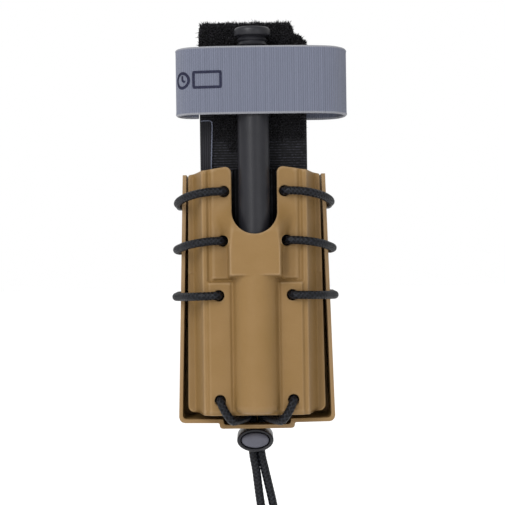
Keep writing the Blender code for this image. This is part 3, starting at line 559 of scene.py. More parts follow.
CAMERA_DISTANCE = 0.48
CAMERA_LENS = 95.0
CAMERA_TARGET = Vector((-0.9, FACE_OUT, 16.4)) * MM
CAMERA_ROLL = radians(0.79)
FLOOR_REACH, FLOOR_LEVEL = 6.0, -0.16
SQUARE = ((-1, -1), (1, -1), (1, 1), (-1, 1))


def area_light(name, at, towards, size, power):
    data = bpy.data.lights.new(name, "AREA")
    data.shape = "RECTANGLE"
    data.size, data.size_y = size
    data.energy = power
    light = link(bpy.data.objects.new(name, data))
    light.location = at
    light.rotation_euler = (Vector(towards) - Vector(at)).to_track_quat("-Z", "Y").to_euler()


def build_stage():
    camera_data = bpy.data.cameras.new("camera")
    camera_data.sensor_width = 36
    camera_data.lens = CAMERA_LENS
    camera_data.clip_start = 0.01
    camera = link(bpy.data.objects.new("camera", camera_data))
    away = Matrix.Translation(CAMERA_TARGET + Vector((0, -CAMERA_DISTANCE, 0)))
    level = Matrix.Rotation(pi / 2, 4, "X")
    camera.matrix_world = away @ Matrix.Rotation(CAMERA_ROLL, 4, "Y") @ level
    bpy.context.scene.camera = camera
    bpy.context.scene.view_settings.view_transform = "Standard"

    world = bpy.data.worlds.new("studio")
    bpy.context.scene.world = world
    world.use_nodes = True
    background = world.node_tree.nodes["Background"]
    background.inputs["Color"].default_value = (1, 1, 1, 1)
    background.inputs["Strength"].default_value = 1.0

    area_light("key", (-0.42, -0.75, 0.55), (0, -0.03, 0.02), (0.5, 0.5), 6.2)
    area_light("strip", (-0.36, -0.90, 0.05), (0, -0.03, 0.03), (0.08, 1.2), 3.9)
    area_light("fill", (0.5, -0.8, 0.1), (0, -0.03, 0.0), (0.5, 0.6), 1.5)

    floor_mesh = bpy.data.meshes.new("floor")
    corners = [(x * FLOOR_REACH, y * FLOOR_REACH, FLOOR_LEVEL) for x, y in SQUARE]
    floor_mesh.from_pydata(corners, [], [(0, 1, 2, 3)])
    floor = link(bpy.data.objects.new("floor", floor_mesh))
    paint = Paint("floor", (0.93, 0.93, 0.93), 0.9, 0.1)
    paint.set("Emission Color", (1, 1, 1, 1))
    paint.set("Emission Strength", 0.15)
    floor_mesh.materials.append(paint.material)
    floor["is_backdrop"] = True


build_stage()

# Cords.

TAIL_ROUTE = (
    (-48.7, 0.0, 1.65), (-51.0, -0.25, 1.58), (-53.5, -0.4, 1.52), (-56.5, -0.35, 1.50),
    (-59.9, -0.05, 1.52), (-65.6, 1.05, 1.66), (-71.2, 2.0, 1.96), (-77.0, 3.0, 2.25),
    (-85.0, 4.3, 2.3), (-93.0, 5.1, 2.1), (-100.0, 5.4, 1.85), (-104.6, 5.5, 1.8),
)
TAIL_RADIUS = 1.6
KNOT_CENTRE = Vector((5.5, EXIT_Y, -110.2))


def build_knot():
    """A knot of the two tails: one cord wound into a tight trefoil, over an inner core."""
    route = []
    for i in range(60):
        t = TAU * i / 60
        x, y, z = sin(t) + 2 * sin(2 * t), cos(t) - 2 * cos(2 * t), -sin(3 * t)
        route.append(KNOT_CENTRE + Vector((x * 1.05, y, z * 1.9)))
    knot, _ = braided("knot_wraps", route, 1.45, ["tail_knot"])
    profile = [(0.01, 5.2), (1.9, 4.9), (2.9, 3.4), (3.1, 1.0), (3.0, -1.6), (2.4, -3.9)]
    profile += [(0.01, -4.6)]
    core = revolved("knot_core", profile, KNOT_CENTRE, 24, "carrier", "shock_cord", ["tail_knot"])
    return [knot, core, build_neck(-1, "left"), build_neck(1, "right")]


def build_neck(side, which):
    """The end of one tail, where it goes into the knot."""
    z, lean, half = TAIL_ROUTE[-1]
    end = Vector((lean + side * half, EXIT_Y, z))
    route = [end + Vector((0, 0, 0.12)), end + Vector((0, 0, -0.9))]
    route += [KNOT_CENTRE + Vector((side * x, 0, z)) for x, z in ((1.5, 3.0), (0.9, 0.4))]
    return braided("knot_neck_" + which, route, TAIL_RADIUS, ["tail_knot"])[0]


def build_tails(knot):
    """The two free ends of the shock cord, from the tab down to their knot."""
    for side, which in ((-1, "left"), (1, "right")):
        route = [(lean + side * half, EXIT_Y, z) for z, lean, half in TAIL_ROUTE]
        tail, points = braided("tail_" + which, route, TAIL_RADIUS, ["cord_tail_" + which])
        path = [p * MM for p in points]
        length = sum((b - a).length for a, b in zip(path, path[1:]))
        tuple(path[0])


build_tails(build_knot())


def bend_out(hole, wall_side, run, direction, depth_sign):
    """Points of the bend from a hole's axis to a run along the wall, in the direction given."""
    radius = abs(run - wall_side)
    points = []
    for step in range(6):
        turn = radians(90 * step / 5)
        away = radius * (1 - cos(turn))
        y = wall_side + depth_sign * radius * sin(turn)
        points.append((hole[0] + direction[0] * away, y, hole[1] + direction[1] * away))
    return points


def tray_half(z):
    """Half of the tray's width at a height."""
    spread_out = TRAY_FLOOR_HALF - TRAY_TOP_HALF
    return TRAY_TOP_HALF + spread_out * (TRAY_TOP - z) / (TRAY_TOP - TRAY_FLOOR)


def side_loop(front, back, face):
    """The cord from a front hole round the tray's side to a back hole, on the right side."""
    front_run = face - CORD_STANDOFF
    back_run = TRAY_BACK + CORD_STANDOFF
    fall = back[1] - front[1]
    points = bend_out(front, face, front_run, (1, 0), -1)
    side = tray_half(back[1]) + CORD_RADIUS + 0.05
    shoulder = [
        (16.0, front_run, 0.03), (20.2, front_run + 0.4, 0.18), (24.2, front_run + 4.0, 0.40),
        (27.0, front_run + 9.2, 0.66), (side, TRAY_RIM, 0.86), (side, TRAY_RIM + 8, 0.97),
        (side, TRAY_BACK - 3, 1.0),
    ]
    points += [(x, y, front[1] + fall * share) for x, y, share in shoulder]
    wrap = arc((tray_half(back[1]), TRAY_BACK), CORD_STANDOFF, 0, 90, 4)
    points += [(x, y, back[1]) for x, y in wrap]
    points += reversed(bend_out(back, TRAY_BACK, back_run, (1, 0), 1))
    return points


def right_lacing():
    """One half of the lacing, from the middle of the back to the cord exit."""
    inside_back = TRAY_BACK - TRAY_WALL
    back_run = inside_back - CORD_STANDOFF
    inside_face = FACE_OUT + SHELL_WALL
    front_run = inside_face + CORD_STANDOFF
    panel_face = FACE_OUT - CAD_PANEL_RISE
    top, middle, low = FRONT_HOLES
    back_top, back_middle, back_low = BACK_HOLES
    up, down, inward = (0, 1), (0, -1), (-0.9, 0.43)
    route = [(0, back_run, 40.4), (9, back_run, 40.1), (15.5, back_run, 38.5)]
    route += reversed(bend_out(back_top, inside_back, back_run, inward, -1))
    route += reversed(side_loop(top, back_top, FACE_OUT))
    route += bend_out(top, inside_face, front_run, down, 1)
    route += reversed(bend_out(middle, inside_face, front_run, up, 1))
    route += side_loop(middle, back_middle, FACE_OUT)
    route += bend_out(back_middle, inside_back, back_run, down, -1)
    route += reversed(bend_out(back_low, inside_back, back_run, up, -1))
    route += reversed(side_loop(low, back_low, panel_face))
    route += bend_out(low, inside_face, front_run, down, 1)
    route += [(low[0], front_run, -18)]
    route += reversed(bend_out(FOOT_HOLE, inside_face, front_run, up, 1))
    route += bend_out(FOOT_HOLE, panel_face, panel_face - CORD_STANDOFF, (-0.35, -0.94), -1)
    route += [
        (11.3, -44.8, -40.9), (10.1, -44.6, -42.7), (8.9, -43.4, -44.15), (7.4, -40.6, -44.4),
        (5.4, -35.5, -44.4), (3.7, -30.0, -44.4), (2.5, -25.2, -44.4), (1.9, -22.0, -44.6),
        (1.7, -20.35, -45.6), (1.7, -20.0, -46.7), (1.7, -20.0, -48.3),
    ]
    return route


def build_lacing():
    """Both halves of the lacing."""
    right = right_lacing()
    route = [(-x, y, z) for x, y, z in reversed(right)][:-1] + right
    lacing, _ = braided("lacing", route, CORD_RADIUS, ["lacing_cord"], body=None)
    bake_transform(lacing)


build_lacing()

# Carrier shells.

SHELL_BOTTOM, SHELL_SIDE_TOP, EAR_TOP = -42.3, 45.4, 47.4
SHELL_BOTTOM_HALF, SHELL_TOP_HALF = 25.4, 24.3
FACE_HALF, SHOULDER_HALF, FLANGE_INNER = 16.7, 19.0, 22.6
GROOVE_AT, GROOVE_HALF, GROOVE_DEPTH = 16.4, 1.25, 0.9
LEDGE_GROOVE, VALLEY, FOOT_ROUND = 0.95, 0.6, 1.1
PANEL_RISE, PANEL_TOP = 1.1, 6.1
NOTCH_HALF, NOTCH_BOTTOM = 8.2, 23.1
BUMP_RADIUS = 7.8
BRIDGE_HALF, BRIDGE_BASE_HALF, BRIDGE_BOTTOM = 9.1, 9.7, 8.2
CORNER, RIM = 2.2, 0.45
# The height of a raised feature where it isn't there, and where the ears' outline takes over.
NOWHERE = -1.0
NEAR_TOP = 42.0


def bump_height(x, z, inset):
    """The half-round housing over the lower windlass, with a rounded foot."""
    foot = 3.0
    above = z - (SHELL_BOTTOM + 0.8) - inset
    radius = BUMP_RADIUS - inset
    if above < foot:
        radius -= foot - sqrt(foot**2 - (foot - max(above, 0)) ** 2)
    fade = 1 - ramp(z, BRIDGE_BOTTOM + inset, BRIDGE_BOTTOM + inset + 1.0)
    if fade == 0 or above <= 0:
        return NOWHERE
    base = FLANGE_OUT - ROD_Y
    return (base + sqrt(radius**2 - x**2) if x < radius else base - 2.5 * (x - radius)) * fade


def bridge_height(x, z, inset):
    """The flat raised bridge across the rod below the notch, which melts into the ears above."""
    top = FLANGE_OUT - ROD_Y + BUMP_RADIUS - inset
    low = FLANGE_OUT - FACE_OUT - inset
    melt = ease(z, NOTCH_BOTTOM - 8, NOTCH_BOTTOM + 8)
    inner = BRIDGE_HALF - inset - 2.0 * melt
    outer = BRIDGE_BASE_HALF - inset + 5.5 * melt
    across = 1 - (ease(x, inner, outer) if melt > 0 else ramp(x, inner, outer))
    up = 1 - ease(z, NOTCH_BOTTOM + 0.5, NOTCH_BOTTOM + 13)
    down = ramp(z, BRIDGE_BOTTOM + inset - 1.0, BRIDGE_BOTTOM + inset)
    share = across * up * down
    return low + (top - low) * share if share else NOWHERE


def slope_share(x, start, end):
    """The shoulder's slope: straight at first, and curving out into the flange."""
    share = ramp(x, start, end)
    return 1 - (1 - share) ** 1.35


def filleted(low, high, size):
    """The greater of two heights, with a fillet where they meet."""
    return (low + high + sqrt((high - low) ** 2 + size**2)) / 2


def face_height(x, z, inset):
    """How far the surface stands in front of the flange."""
    x = abs(x)
    low = ramp(z, PANEL_TOP - 0.5, PANEL_TOP)
    height = FLANGE_OUT - FACE_OUT
    height *= 1 - slope_share(x, SHOULDER_HALF - inset, FLANGE_INNER - inset)
    height += PANEL_RISE * (1 - low) * (1 - ramp(x, FACE_HALF - inset, FACE_HALF + 0.8 - inset))
    height -= GROOVE_DEPTH * low * (1 - ease(abs(x - GROOVE_AT), 0.1, GROOVE_HALF))
    if x < GROOVE_AT - 1:
        height -= LEDGE_GROOVE * (1 - ease(abs(z - PANEL_TOP - 0.35), 0.1, 0.85))
    height -= VALLEY * (1 - low) * (1 - ease(abs(x - BUMP_RADIUS - 0.55), 0.1, 1.1))
    height -= FOOT_ROUND * (1 - ease(z - SHELL_BOTTOM - inset, 0, 1.7)) * ramp(height, 0, 3)
    return max(filleted(height - inset, bump_height(x, z, inset), 1.1), bridge_height(x, z, inset))


SOFT_RING = [(0.0, 0.0), *ring(0.34, 8), *ring(0.22, 4)]


def soft_height(x, z, inset):
    """face_height with every edge rounded, by taking its mean over a small disc."""
    return sum(face_height(x + dx, z + dz, inset) for dx, dz in SOFT_RING) / len(SOFT_RING)


def half_outline():
    """Right half of the shell's edge, from the middle of its foot up to the middle of the notch."""
    points = [(0.0, SHELL_BOTTOM)]
    points += arc((SHELL_BOTTOM_HALF - CORNER, SHELL_BOTTOM + CORNER), CORNER, -90, 0, 6)
    points += arc((SHELL_TOP_HALF - 0.8, SHELL_SIDE_TOP - 0.8), 0.8, 0, 82, 4)
    points += arc((NOTCH_HALF + CORNER, EAR_TOP - CORNER), CORNER, 82, 180, 8)
    points += arc((0, NOTCH_BOTTOM + NOTCH_HALF), NOTCH_HALF, 0, -90, 18)
    return points


def resample(points, pitch):
    """Points no further apart than about the pitch, along straight lines between the given ones."""
    made = []
    for a, b in zip(points, points[1:]):
        a, b = Vector(a), Vector(b)
        steps = max(1, round((b - a).length / pitch))
        made += [a.lerp(b, step / steps) for step in range(steps)]
    return [*made, Vector(points[-1])]


def spread(stops):
    """Values from each (value, pitch) to the next, no further apart than that pitch."""
    values = []
    for (a, fine), (b, _) in zip(stops, stops[1:]):
        steps = max(1, ceil((b - a) / fine))
        values += [a + (b - a) * i / steps for i in range(steps)]
    return [*values, stops[-1][0]]


def within(x, z, loop, margin):
    """Whether a point is inside a closed loop, and at least the margin from its corners."""
    inside = False
    for i, b in enumerate(loop):
        a = loop[i - 1]
        if hypot(b.x - x, b.y - z) < margin:
            return False
        if (a.y > z) != (b.y > z) and x < a.x + (z - a.y) * (b.x - a.x) / (b.y - a.y):
            inside = not inside
    return inside


def inside_shell(x, z, margin):
    """Whether a point is inside the shell's edge, seen from the front, by at least the margin."""
    x = abs(x)
    taper = SHELL_TOP_HALF - SHELL_BOTTOM_HALF
    side = SHELL_BOTTOM_HALF + taper * (z - SHELL_BOTTOM) / (SHELL_SIDE_TOP - SHELL_BOTTOM)
    if x > side - margin or z < SHELL_BOTTOM + margin:
        return False
    slope = (EAR_TOP - SHELL_SIDE_TOP) / (SHELL_TOP_HALF - NOTCH_HALF)
    if z > EAR_TOP - (x - NOTCH_HALF) * slope * 0.95 - margin:
        return False
    centre = NOTCH_BOTTOM + NOTCH_HALF
    if z > centre:
        if x < NOTCH_HALF + margin:
            return False
        ear = (x - NOTCH_HALF - CORNER, z - EAR_TOP + CORNER)
        return not (ear[0] < 0 < ear[1] and hypot(*ear) > CORNER - margin)
    if hypot(x, z - centre) < NOTCH_HALF + margin:
        return False
    foot = (x - side + CORNER, z - SHELL_BOTTOM - CORNER)
    return not (foot[0] > 0 > foot[1] and hypot(*foot) > CORNER - margin)


def loop_normals(loop):
    """Outward normals of a closed loop in the plane, which runs with the solid on its left."""
    made = []
    for i, point in enumerate(loop):
        along = loop[(i + 1) % len(loop)] - loop[i - 1]
        made.append(Vector((along.y, -along.x)).normalized())
    return made


def shell_grid(edge, holes):
    """Points inside the shell on a grid that is finer where the surface bends."""
    columns = spread([(0, 0.55), (7.0, 0.3), (10.6, 0.6), (15.8, 0.25), (23.2, 0.5), (26.0, 1)])
    columns = [-x for x in reversed(columns[1:])] + columns
    rows = [(-43.0, 0.4), (-36.0, 1.2), (4.4, 0.3), (10.4, 0.8), (20.0, 0.6), (38.0, 0.9)]
    points = []
    for z in spread([*rows, (48.0, 1)]):
        for x in columns:
            clear = all(dist((x, z), hole) > LACE_HOLE_RADIUS + RIM + 0.15 for hole in holes)
            near_top = z > NEAR_TOP and not within(x, z, edge, 0.25)
            if clear and not near_top and inside_shell(x, z, 0 if z > NEAR_TOP else RIM + 0.15):
                points.append(Vector((x, z)))
    return points


def is_solid(x, z, edge, holes):
    """Whether a triangle with its middle here is part of the shell."""
    if any(dist((x, z), hole) < LACE_HOLE_RADIUS + RIM - 0.02 for hole in holes):
        return False
    return within(x, z, edge, 0) if z > NEAR_TOP else inside_shell(x, z, RIM - 0.03)


def build_front_shell():
    """Both faces share one triangulation of the outline with its holes. Rounded rims join them."""
    right = resample(half_outline(), 0.6)
    holes = [(side * x, z) for x, z in (*FRONT_HOLES, FOOT_HOLE) for side in (-1, 1)]
    loops = [right + [Vector((-p.x, p.y)) for p in reversed(right[1:-1])]]
    loops += [[Vector(p) for p in arc(hole, LACE_HOLE_RADIUS, 360, 0, 24)[:-1]] for hole in holes]
    normals = [loop_normals(loop) for loop in loops]
    inner_loops = [[p - n * RIM for p, n in zip(*pair)] for pair in zip(loops, normals)]
    edge = inner_loops[0]
    edges = []
    start = 0
    for loop in inner_loops:
        edges += [(start + i, start + (i + 1) % len(loop)) for i in range(len(loop))]
        start += len(loop)
    points = [p for loop in inner_loops for p in loop] + shell_grid(edge, holes)
    flat = geometry.delaunay_2d_cdt(points, edges, [], 0, 1e-5)
    faces = []
    for face in flat[2]:
        x = sum(flat[0][i].x for i in face) / 3
        z = sum(flat[0][i].y for i in face) / 3
        if is_solid(x, z, edge, holes):
            faces.append(tuple(face))
    count = len(flat[0])
    faces += [tuple(i + count for i in reversed(face)) for face in faces]
    verts = []
    for inset in (0, SHELL_WALL):
        verts += [(p.x, FLANGE_OUT - soft_height(p.x, p.y, inset), p.y) for p in flat[0]]
    order = {orig: new for new, origs in enumerate(flat[3]) for orig in origs}
    bend = RIM * (1 - sqrt(0.5))
    start = 0
    for loop, normal in zip(loops, normals):
        front = [order[start + i] for i in range(len(loop))]
        start += len(loop)
        rows = [front]
        steps = ((0, bend, bend), (0, 0, RIM), (count, 0, -RIM), (count, bend, -bend))
        for side, out, back in steps:
            rows.append([len(verts) + i for i in range(len(loop))])
            for i, point in enumerate(loop):
                place = point - normal[i] * out
                verts.append((place.x, verts[front[i] + side][1] + back, place.y))
        rows.append([i + count for i in front])
        for one, two in zip(rows, rows[1:]):
            for i in range(len(loop)):
                j = (i + 1) % len(loop)
                faces.append((one[i], one[j], two[j], two[i]))
    name = "front_shell_moulded"
    mesh_piece(name, verts, faces, "front_shell", "coyote_polymer", ["front_shell"], angle=60)


build_front_shell()
softened("back_shell", "carrier", "coyote_polymer", 0.55)
softened("belt_loop", "carrier", "black_polymer", 0.5)
for count in (1, 2, 3, 4):
    softened(f"belt_screw_{count}", "carrier", "dark_steel", 0.12, 2)
    softened(f"post_nut_{count}", "carrier", "dark_steel", 0.12, 2)

# Tourniquet.

BAND_BACK, BAND_THICK, BAND_PITCH, BAND_LAYERS = -20.9, 2.3, 2.8, 5
BAND_BOTTOM, BAND_TOP = -38.0, 100.2
BAND_FRONT = BAND_BACK - BAND_THICK - BAND_PITCH * (BAND_LAYERS - 1)
# The visual band's thickness as a share of the CAD's, which leaves room for its ribs.
BAND_SHARE = 0.94
SEAM_X = 16.4
FRONT_TUFTS, TOP_TUFTS, SIDE_TUFTS, PATCH_TUFTS = 5200, 2200, 700, 4200


def band_half(run, centre):
    """The band's edges. Its top right corner is worn back, and the shell squeezes it below."""
    z, y = centre.z, centre.y
    layer = (BAND_BACK - y) / BAND_PITCH
    sway = 0.25 * sin(run * 0.045 + layer)
    left, right = -19.6 + sway * 0.3, 19.5 + sway * 0.5
    right -= 1.6 * ease(z, 93.4, 94.6) + 3.2 * ease(z, 95.0, 96.8) + 1.0 * ease(z, 98, BAND_TOP)
    squeezed = 18.1 - max(0.0, -27.6 - y) * 0.2
    share = ease(z, 47.2, 45.0) if z > 45 else 1.0
    limit = squeezed if z < 45 else 30 + (squeezed - 30) * (1 - ramp(z, 45.0, 45.8))
    return max(left, -limit), min(right, limit)


def fine_ribs(run, v, side, centre):
    return 0.06 * sin(TAU * run / BAND_RIB_PITCH)


def band_relief(run, v, side, centre):
    """Wide woven ribs, and a groove beside the stitched seam on the front layer."""
    relief = 0.15 * sin(TAU * run / BAND_RIB_PITCH)
    if centre.y < BAND_FRONT + BAND_THICK and side < 0:
        relief -= 0.25 * exp(-(((v - SEAM_X) / 0.35) ** 2))
    return relief


def build_band():
    """The band, folded back and forth from its back layer to its front one."""
    fold = BAND_PITCH / 2
    path = []
    for layer in range(BAND_LAYERS):
        y = BAND_BACK - BAND_THICK / 2 - layer * BAND_PITCH
        upward = layer % 2 == 0
        low, high = BAND_BOTTOM + fold + BAND_THICK / 2, BAND_TOP - fold - BAND_THICK / 2
        path += [(y, low), (y, high)] if upward else [(y, high), (y, low)]
        if layer < BAND_LAYERS - 1:
            end = high if upward else low
            path += arc((y - fold, end), fold, 0, 180 if upward else -180, 8)[1:-1]
    path = strip_path([Vector((0, p.x, p.y)) for p in resample(path, 0.28)], ACROSS)
    thick = BAND_THICK * BAND_SHARE
    webbing("band_webbing", path, band_half, thick, ["band"], band_relief, across=22)


def tuft(verts, faces, at, direction, length, radius, draw):
    """One bent hair of pile: a three-sided spike whose tip curls over."""
    side = direction.orthogonal().normalized()
    other = direction.cross(side)
    curl = (side * draw(-1, 1) + other * draw(-1, 1)) * length * 0.55
    rows = ((0.0, 1.0), (0.55, 0.8), (1.0, 0.25))
    base = len(verts)
    for along, thick in rows:
        centre = at + direction * length * along + curl * along * along
        for x, y in ring(1.0, 3):
            verts.append(centre + (side * x + other * y) * radius * thick)
    for row in range(2):
        for k in range(3):
            a, b = base + row * 3 + k, base + row * 3 + (k + 1) % 3
            faces.append((a, b, b + 3, a + 3))
    faces.append((base + 2, base + 1, base))
    faces.append((base + 6, base + 7, base + 8))


def build_pile():
    """Pile on the band's front, top and right edge, and in a ragged patch below the strap."""
    draw = random.Random(7).uniform
    verts, faces = [], []

    def grow(at, way, length, radius):
        tuft(verts, faces, Vector(at), Vector(way).normalized(), length, radius, draw)

    for _ in range(FRONT_TUFTS):
        z = draw(86, BAND_TOP - 0.4)
        left, right = band_half(0, Vector((0, BAND_FRONT, z)))
        x = draw(left + 0.3, right - 0.1)
        way = (draw(-0.5, 0.5), -1, draw(-0.3, 0.9))
        grow((x, BAND_FRONT + 0.1, z), way, draw(0.7, 1.8), 0.16)
    for _ in range(TOP_TUFTS):
        x = draw(-18.8, 13.5)
        y = draw(BAND_FRONT, BAND_BACK - 5)
        way = (draw(-0.6, 0.6), draw(-0.8, 0.3), 1)
        tall = 0.8 + 1.3 * abs(noise.noise(Vector((x * 0.5, y * 0.5, 7.7))))
        grow((x, y, BAND_TOP - 0.5), way, draw(0.6, 1.4) * tall, 0.16)
    for _ in range(SIDE_TUFTS):
        z = draw(88, BAND_TOP)
        right = band_half(0, Vector((0, BAND_FRONT, z)))[1]
        y = draw(BAND_FRONT, BAND_FRONT + 6)
        way = (1, draw(-0.8, 0.3), draw(-0.3, 0.8))
        grow((right - 0.3, y, z), way, draw(0.5, 1.3), 0.13)
    for _ in range(PATCH_TUFTS):
        x = draw(-14.6, 19.0)
        ragged = 57.4 + 2.4 * noise.noise(Vector((x * 0.45, 0, 3.1)))
        ragged -= 3.5 if -9.5 < x < -5 else 0
        z = draw(ragged, 70)
        way = (draw(-0.8, 0.8), -1, draw(-0.8, 0.8))
        grow((x, BAND_FRONT + 0.1, z), way, draw(0.6, 1.5), 0.13)
    pile = mesh_piece("band_pile", verts, faces, "tourniquet", "black_webbing", ())
    pile.data.materials[0] = PILE_FINISH


def build_side_strip():
    """The narrow strip at the band's left edge, with a pale cord along its top and right side."""
    points = [Vector((0, BAND_FRONT - 0.45, 44.4 + 20.2 * i / 90)) for i in range(91)]

    def cords(run, v, side, centre):
        return 0.11 * sin(TAU * v / 0.8) if side < 0 else 0.0

    def edges(run, centre):
        return -19.2, -15.2

    strip = webbing("side_strip", strip_path(points, ACROSS), edges, 0.7, (), cords, across=40)
    strip.data.materials[0] = SIDE_FINISH
    front = BAND_FRONT - 0.85
    route = [(-19.0, front, 64.7), (-16.6, front, 64.8), (-15.5, front, 64.6), (-15.1, front, 63.9)]
    ends = ((-15.1, 60.0), (-15.3, 54.0), (-15.5, 48.0), (-15.5, 44.6))
    route += [(x, front, z) for x, z in ends]
    braided("side_strip_edge", route, 0.24, (), "tourniquet", "grey_strap", sides=8, pitch=0.4)


def build_windlass():
    """Rod, ribbed neck and knob."""
    top, bottom = 97.2, -30.0
    knob, rib, ribs = 3.4, 1.8, 5
    neck, body, head = 5.0, 5.7, 6.6
    profile = [(0.01, top), (head - 1.6, top), (head - 0.7, top - 0.15), (head - 0.15, top - 0.6)]
    profile += [(head, top - 1.2), (head, top - 2.6), (head - 0.25, top - 3.1)]
    profile += [(neck + 0.4, top - knob), (neck, top - knob - 0.3)]
    height = top - knob
    for _ in range(ribs):
        for share in (0.2, 0.35, 0.5, 0.65, 0.8, 1.0):
            lift = 0.5 * sin(pi * share) ** 2
            profile.append((neck + lift, height - 0.3 - rib * share * 0.9))
        height -= rib
    profile += [(neck, height - 0.3), (body - 0.3, height - 1.0), (body, height - 1.8)]
    steps = 30
    length = height - 1.8 - bottom - 1.0
    profile += [(body, height - 1.8 - length * i / steps) for i in range(1, steps + 1)]
    profile += [(body - 0.3, bottom + 0.3), (body - 1.0, bottom), (0.01, bottom)]
    at = (0, ROD_Y, 0)
    revolved("windlass", profile, at, 64, "tourniquet", "black_polymer", ["windlass_rod"])


def build_inner_ribbon():
    """The tightening ribbon, which comes up on each side of the rod and goes through its slot."""
    leg, bend, low = 7.2, 1.6, -36.8
    half = [(leg, low), *arc((leg - bend, ROD_Y + bend), bend, 0, -90, 8)]
    line = resample(half + [(-x, y) for x, y in reversed(half)], 0.3)
    path = strip_path([Vector((p.x, p.y, 34.0)) for p in line], UP)
    ribbon = webbing("ribbon", path, even(12.5), 1.1, ["inner_ribbon"], fine_ribs)
    # Its darker finish is painted shade, for the slot it runs through.
    ribbon.data.materials[0] = RIBBON_SHADE_FINISH


def build_keeper():
    """The webbing loop round the buckle's lower bar."""
    buckle_back, buckle_front, gap, thick, top = -16.9, -19.3, 0.3, 1.0, -19.0
    back, ahead = buckle_back + gap + thick / 2, buckle_front - gap - thick / 2
    bend = (back - ahead) / 2
    turn_z = top - 3.2 - 0.8
    line = [(ahead, -6), (ahead, -14), *arc((back - bend, turn_z), bend, 180, 360, 12)]
    line += [(back, -17.5), (back - 1.9, -12), (back - 1.9, -6)]
    path = strip_path([Vector((0, p.x, p.y)) for p in resample(line, 0.28)], ACROSS)
    webbing("keeper", path, even(18.0), 0.95, ["buckle_keeper"], fine_ribs)


build_band()
build_pile()
build_side_strip()
build_windlass()
build_inner_ribbon()
build_keeper()
softened("base_plate", "tourniquet", "black_polymer", 0.4)
softened("windlass_clip", "tourniquet", "black_polymer", 0.35)
softened("buckle", "tourniquet", "black_polymer", 0.5)

# Retaining strap.

STRAP_ROUTE = (
    (19.8, -24.0), (22.8, -23.9), (26.6, -24.3), (30.8, -26.8), (33.3, -33.0), (32.7, -41.0),
    (28.7, -46.6), (21.1, -48.9), (8.0, -49.6), (-5.0, -49.6), (-16.8, -48.9), (-23.8, -46.8),
    (-27.0, -42.0), (-25.8, -36.0), (-22.8, -33.5), (-19.8, -33.4),
)
STRAP_THICK = 1.15
STRAP_MIDDLE = STRAP_BOTTOM + STRAP_HALF


def strap_relief(run, v, side, centre):
    """Ribs across the strap, and a raised corded edge at the top and the bottom."""
    rib = 0.05 * sin(TAU * run / STRAP_RIB_PITCH)
    rib += 0.02 * noise.noise(Vector((run * 0.8, 0, side)))
    edge = 0.14 * exp(-(((STRAP_HALF - 0.7 - abs(v)) / 0.35) ** 2))
    return rib + edge


def build_strap():
    """The strap, which is sewn at its right end."""
    points = smooth([(*p, 0) for p in STRAP_ROUTE], 0.16)
    line = strip_path([Vector((p.x, p.y, STRAP_MIDDLE)) for p in points], UP)
    strap = webbing(
        "retaining_strap", line, even(STRAP_HALF), STRAP_THICK, ["time_strap"], strap_relief,
        across=30, body=None, slot="grey_strap",
    )
    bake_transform(strap)
    return line


def surface_patch(line, offset):
    """A function from (distance along the strap, height) to a point off its outer face."""
    runs = [0.0]
    for one, two in zip(line, line[1:]):
        runs.append(runs[-1] + (two[0] - one[0]).length)

    def at(run, v, lift=0.0):
        low = max(i for i, value in enumerate(runs) if value <= run)
        share = (run - runs[low]) / (runs[low + 1] - runs[low])
        centre = line[low][0].lerp(line[low + 1][0], share)
        normal = line[low][1].lerp(line[low + 1][1], share).normalized()
        outward = normal if normal.dot(centre - Vector((0, -38, STRAP_MIDDLE))) > 0 else -normal
        return centre + outward * (offset + lift) + Vector((0, 0, v))

    return at, runs


def ribbon_mark(at, centre_line, width, closed, verts, faces):
    """A printed line of constant width on the strap, as a thin solid."""
    count = len(centre_line)
    base = len(verts)
    for i, point in enumerate(centre_line):
        if closed:
            along = centre_line[(i + 1) % count] - centre_line[i - 1]
        else:
            along = centre_line[min(i + 1, count - 1)] - centre_line[max(i - 1, 0)]
        side = Vector((-along.y, along.x)).normalized() * width / 2
        for sign, lift in ((1, 0.06), (-1, 0.06), (-1, 0), (1, 0)):
            place = point + side * sign
            verts.append(at(place.x, place.y, lift))
    made = rings_to_faces(count, 4, closed)
    faces += [tuple(base + i for i in face) for face in made]


def build_mark(line):
    """A plain clock face and an empty field to write in, printed near the strap's left end."""
    at, runs = surface_patch(line, STRAP_THICK / 2 + 0.05)
    steps = zip(runs, line)
    centre_run = next(run for run, step in steps if step[0].x < -24.6 and step[0].y < -43)
    centre = Vector((centre_run, 0.3))
    verts, faces = [], []
    ribbon_mark(at, [centre + Vector(p) for p in ring(2.6, 40)], 1.0, True, verts, faces)
    for reach in (Vector((0, 1.7)), Vector((-1.2, -0.6))):
        ribbon_mark(at, [centre + reach * k / 5 for k in range(6)], 0.8, False, verts, faces)
    corners = [(-4.4, -2.7), (-14.0, -2.7), (-14.0, 2.7), (-4.4, 2.7), (-4.4, -2.7)]
    field = resample([(centre.x + x, centre.y + v) for x, v in corners], 0.5)[:-1]
    ribbon_mark(at, field, 0.95, True, verts, faces)
    mark = mesh_piece("write_on_mark", verts, faces, "time_strap", "grey_strap", ())
    ink = Paint("strap_print", PRINT, 0.7, 0.08)
    worn = ink.noise(1.5, 4, 0.7)
    ink.coat(ink.band(worn, 0.45, 0.75, 0, 0.7), PRINT, tone(PRINT, 2.4))
    mark.data.materials[0] = ink.material


build_mark(build_strap())

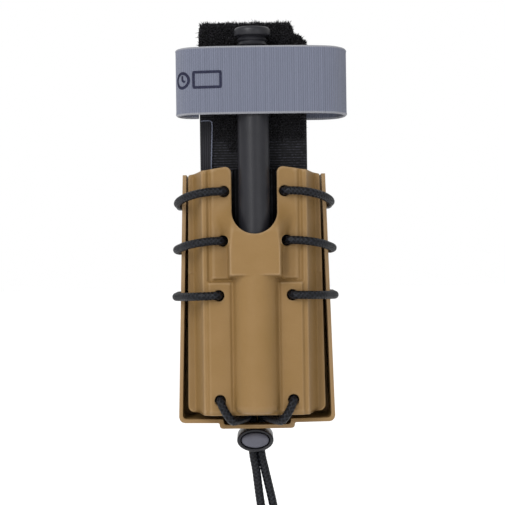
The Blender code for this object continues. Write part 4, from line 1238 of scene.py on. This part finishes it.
# Cord lock.

LOCK_X, LOCK_Z = -0.8, -53.4


def oval_solid(name, rows, body, replaces):
    """A closed solid of oval rings, each (depth, half width, half height)."""
    sides = 64
    verts = []
    for y, half_x, half_z in rows:
        verts += [(LOCK_X + half_x * x, y, LOCK_Z + half_z * z) for x, z in ring(1.0, sides)]
    faces = rings_to_faces(len(rows), sides)
    return mesh_piece(name, verts, faces, body, "black_polymer", replaces)


def build_cord_lock():
    """The barrel with its bore, and the domed button in it."""
    out_x, out_z, in_x, in_z = 6.8, 4.3, 5.4, 3.1
    front, back, bore_end = -27.5, -10.2, -11.7
    rows = [(back, 0.01, 0.01), (back, out_x - 1.2, out_z - 1.2)]
    rows += [(back - 0.35, out_x - 0.35, out_z - 0.35), (back - 1.2, out_x, out_z)]
    rows += [(front + 0.9, out_x, out_z), (front + 0.3, out_x - 0.12, out_z - 0.12)]
    rows += [(front, out_x - 0.45, out_z - 0.45), (front + 0.15, in_x + 0.2, in_z + 0.2)]
    rows += [(front + 0.6, in_x, in_z), (bore_end, in_x, in_z), (bore_end, 0.01, 0.01)]
    oval_solid("lock_barrel_moulded", rows, "cord_lock", ["lock_barrel"])
    gap, deep = 0.3, -16.6
    half_x, half_z = in_x - gap, in_z - gap
    rows = [(deep, 0.01, 0.01), (deep, half_x, half_z), (front + 0.6, half_x, half_z)]
    for share in (0.15, 0.35, 0.6, 0.85, 1.0):
        angle = share * pi / 2
        narrow = 0.35 + 0.65 * cos(angle)
        rows.append((front + 0.6 - 1.5 * sin(angle), half_x * narrow, half_z * narrow))
    rows.append((front - 0.92, 0.01, 0.01))
    button = oval_solid("lock_button_moulded", rows, "lock_button", ["lock_button"])
    button.data.materials[0] = BUTTON_FINISH


build_cord_lock()
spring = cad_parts["lock_spring"]
spring.data.materials.clear()
spring.data.materials.append(FINISHES["spring_steel"])
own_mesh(spring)

boxes = {"cad": cad_box, "visual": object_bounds()}
{key: [list(map(float, corner)) for corner in box] for key, box in boxes.items()}
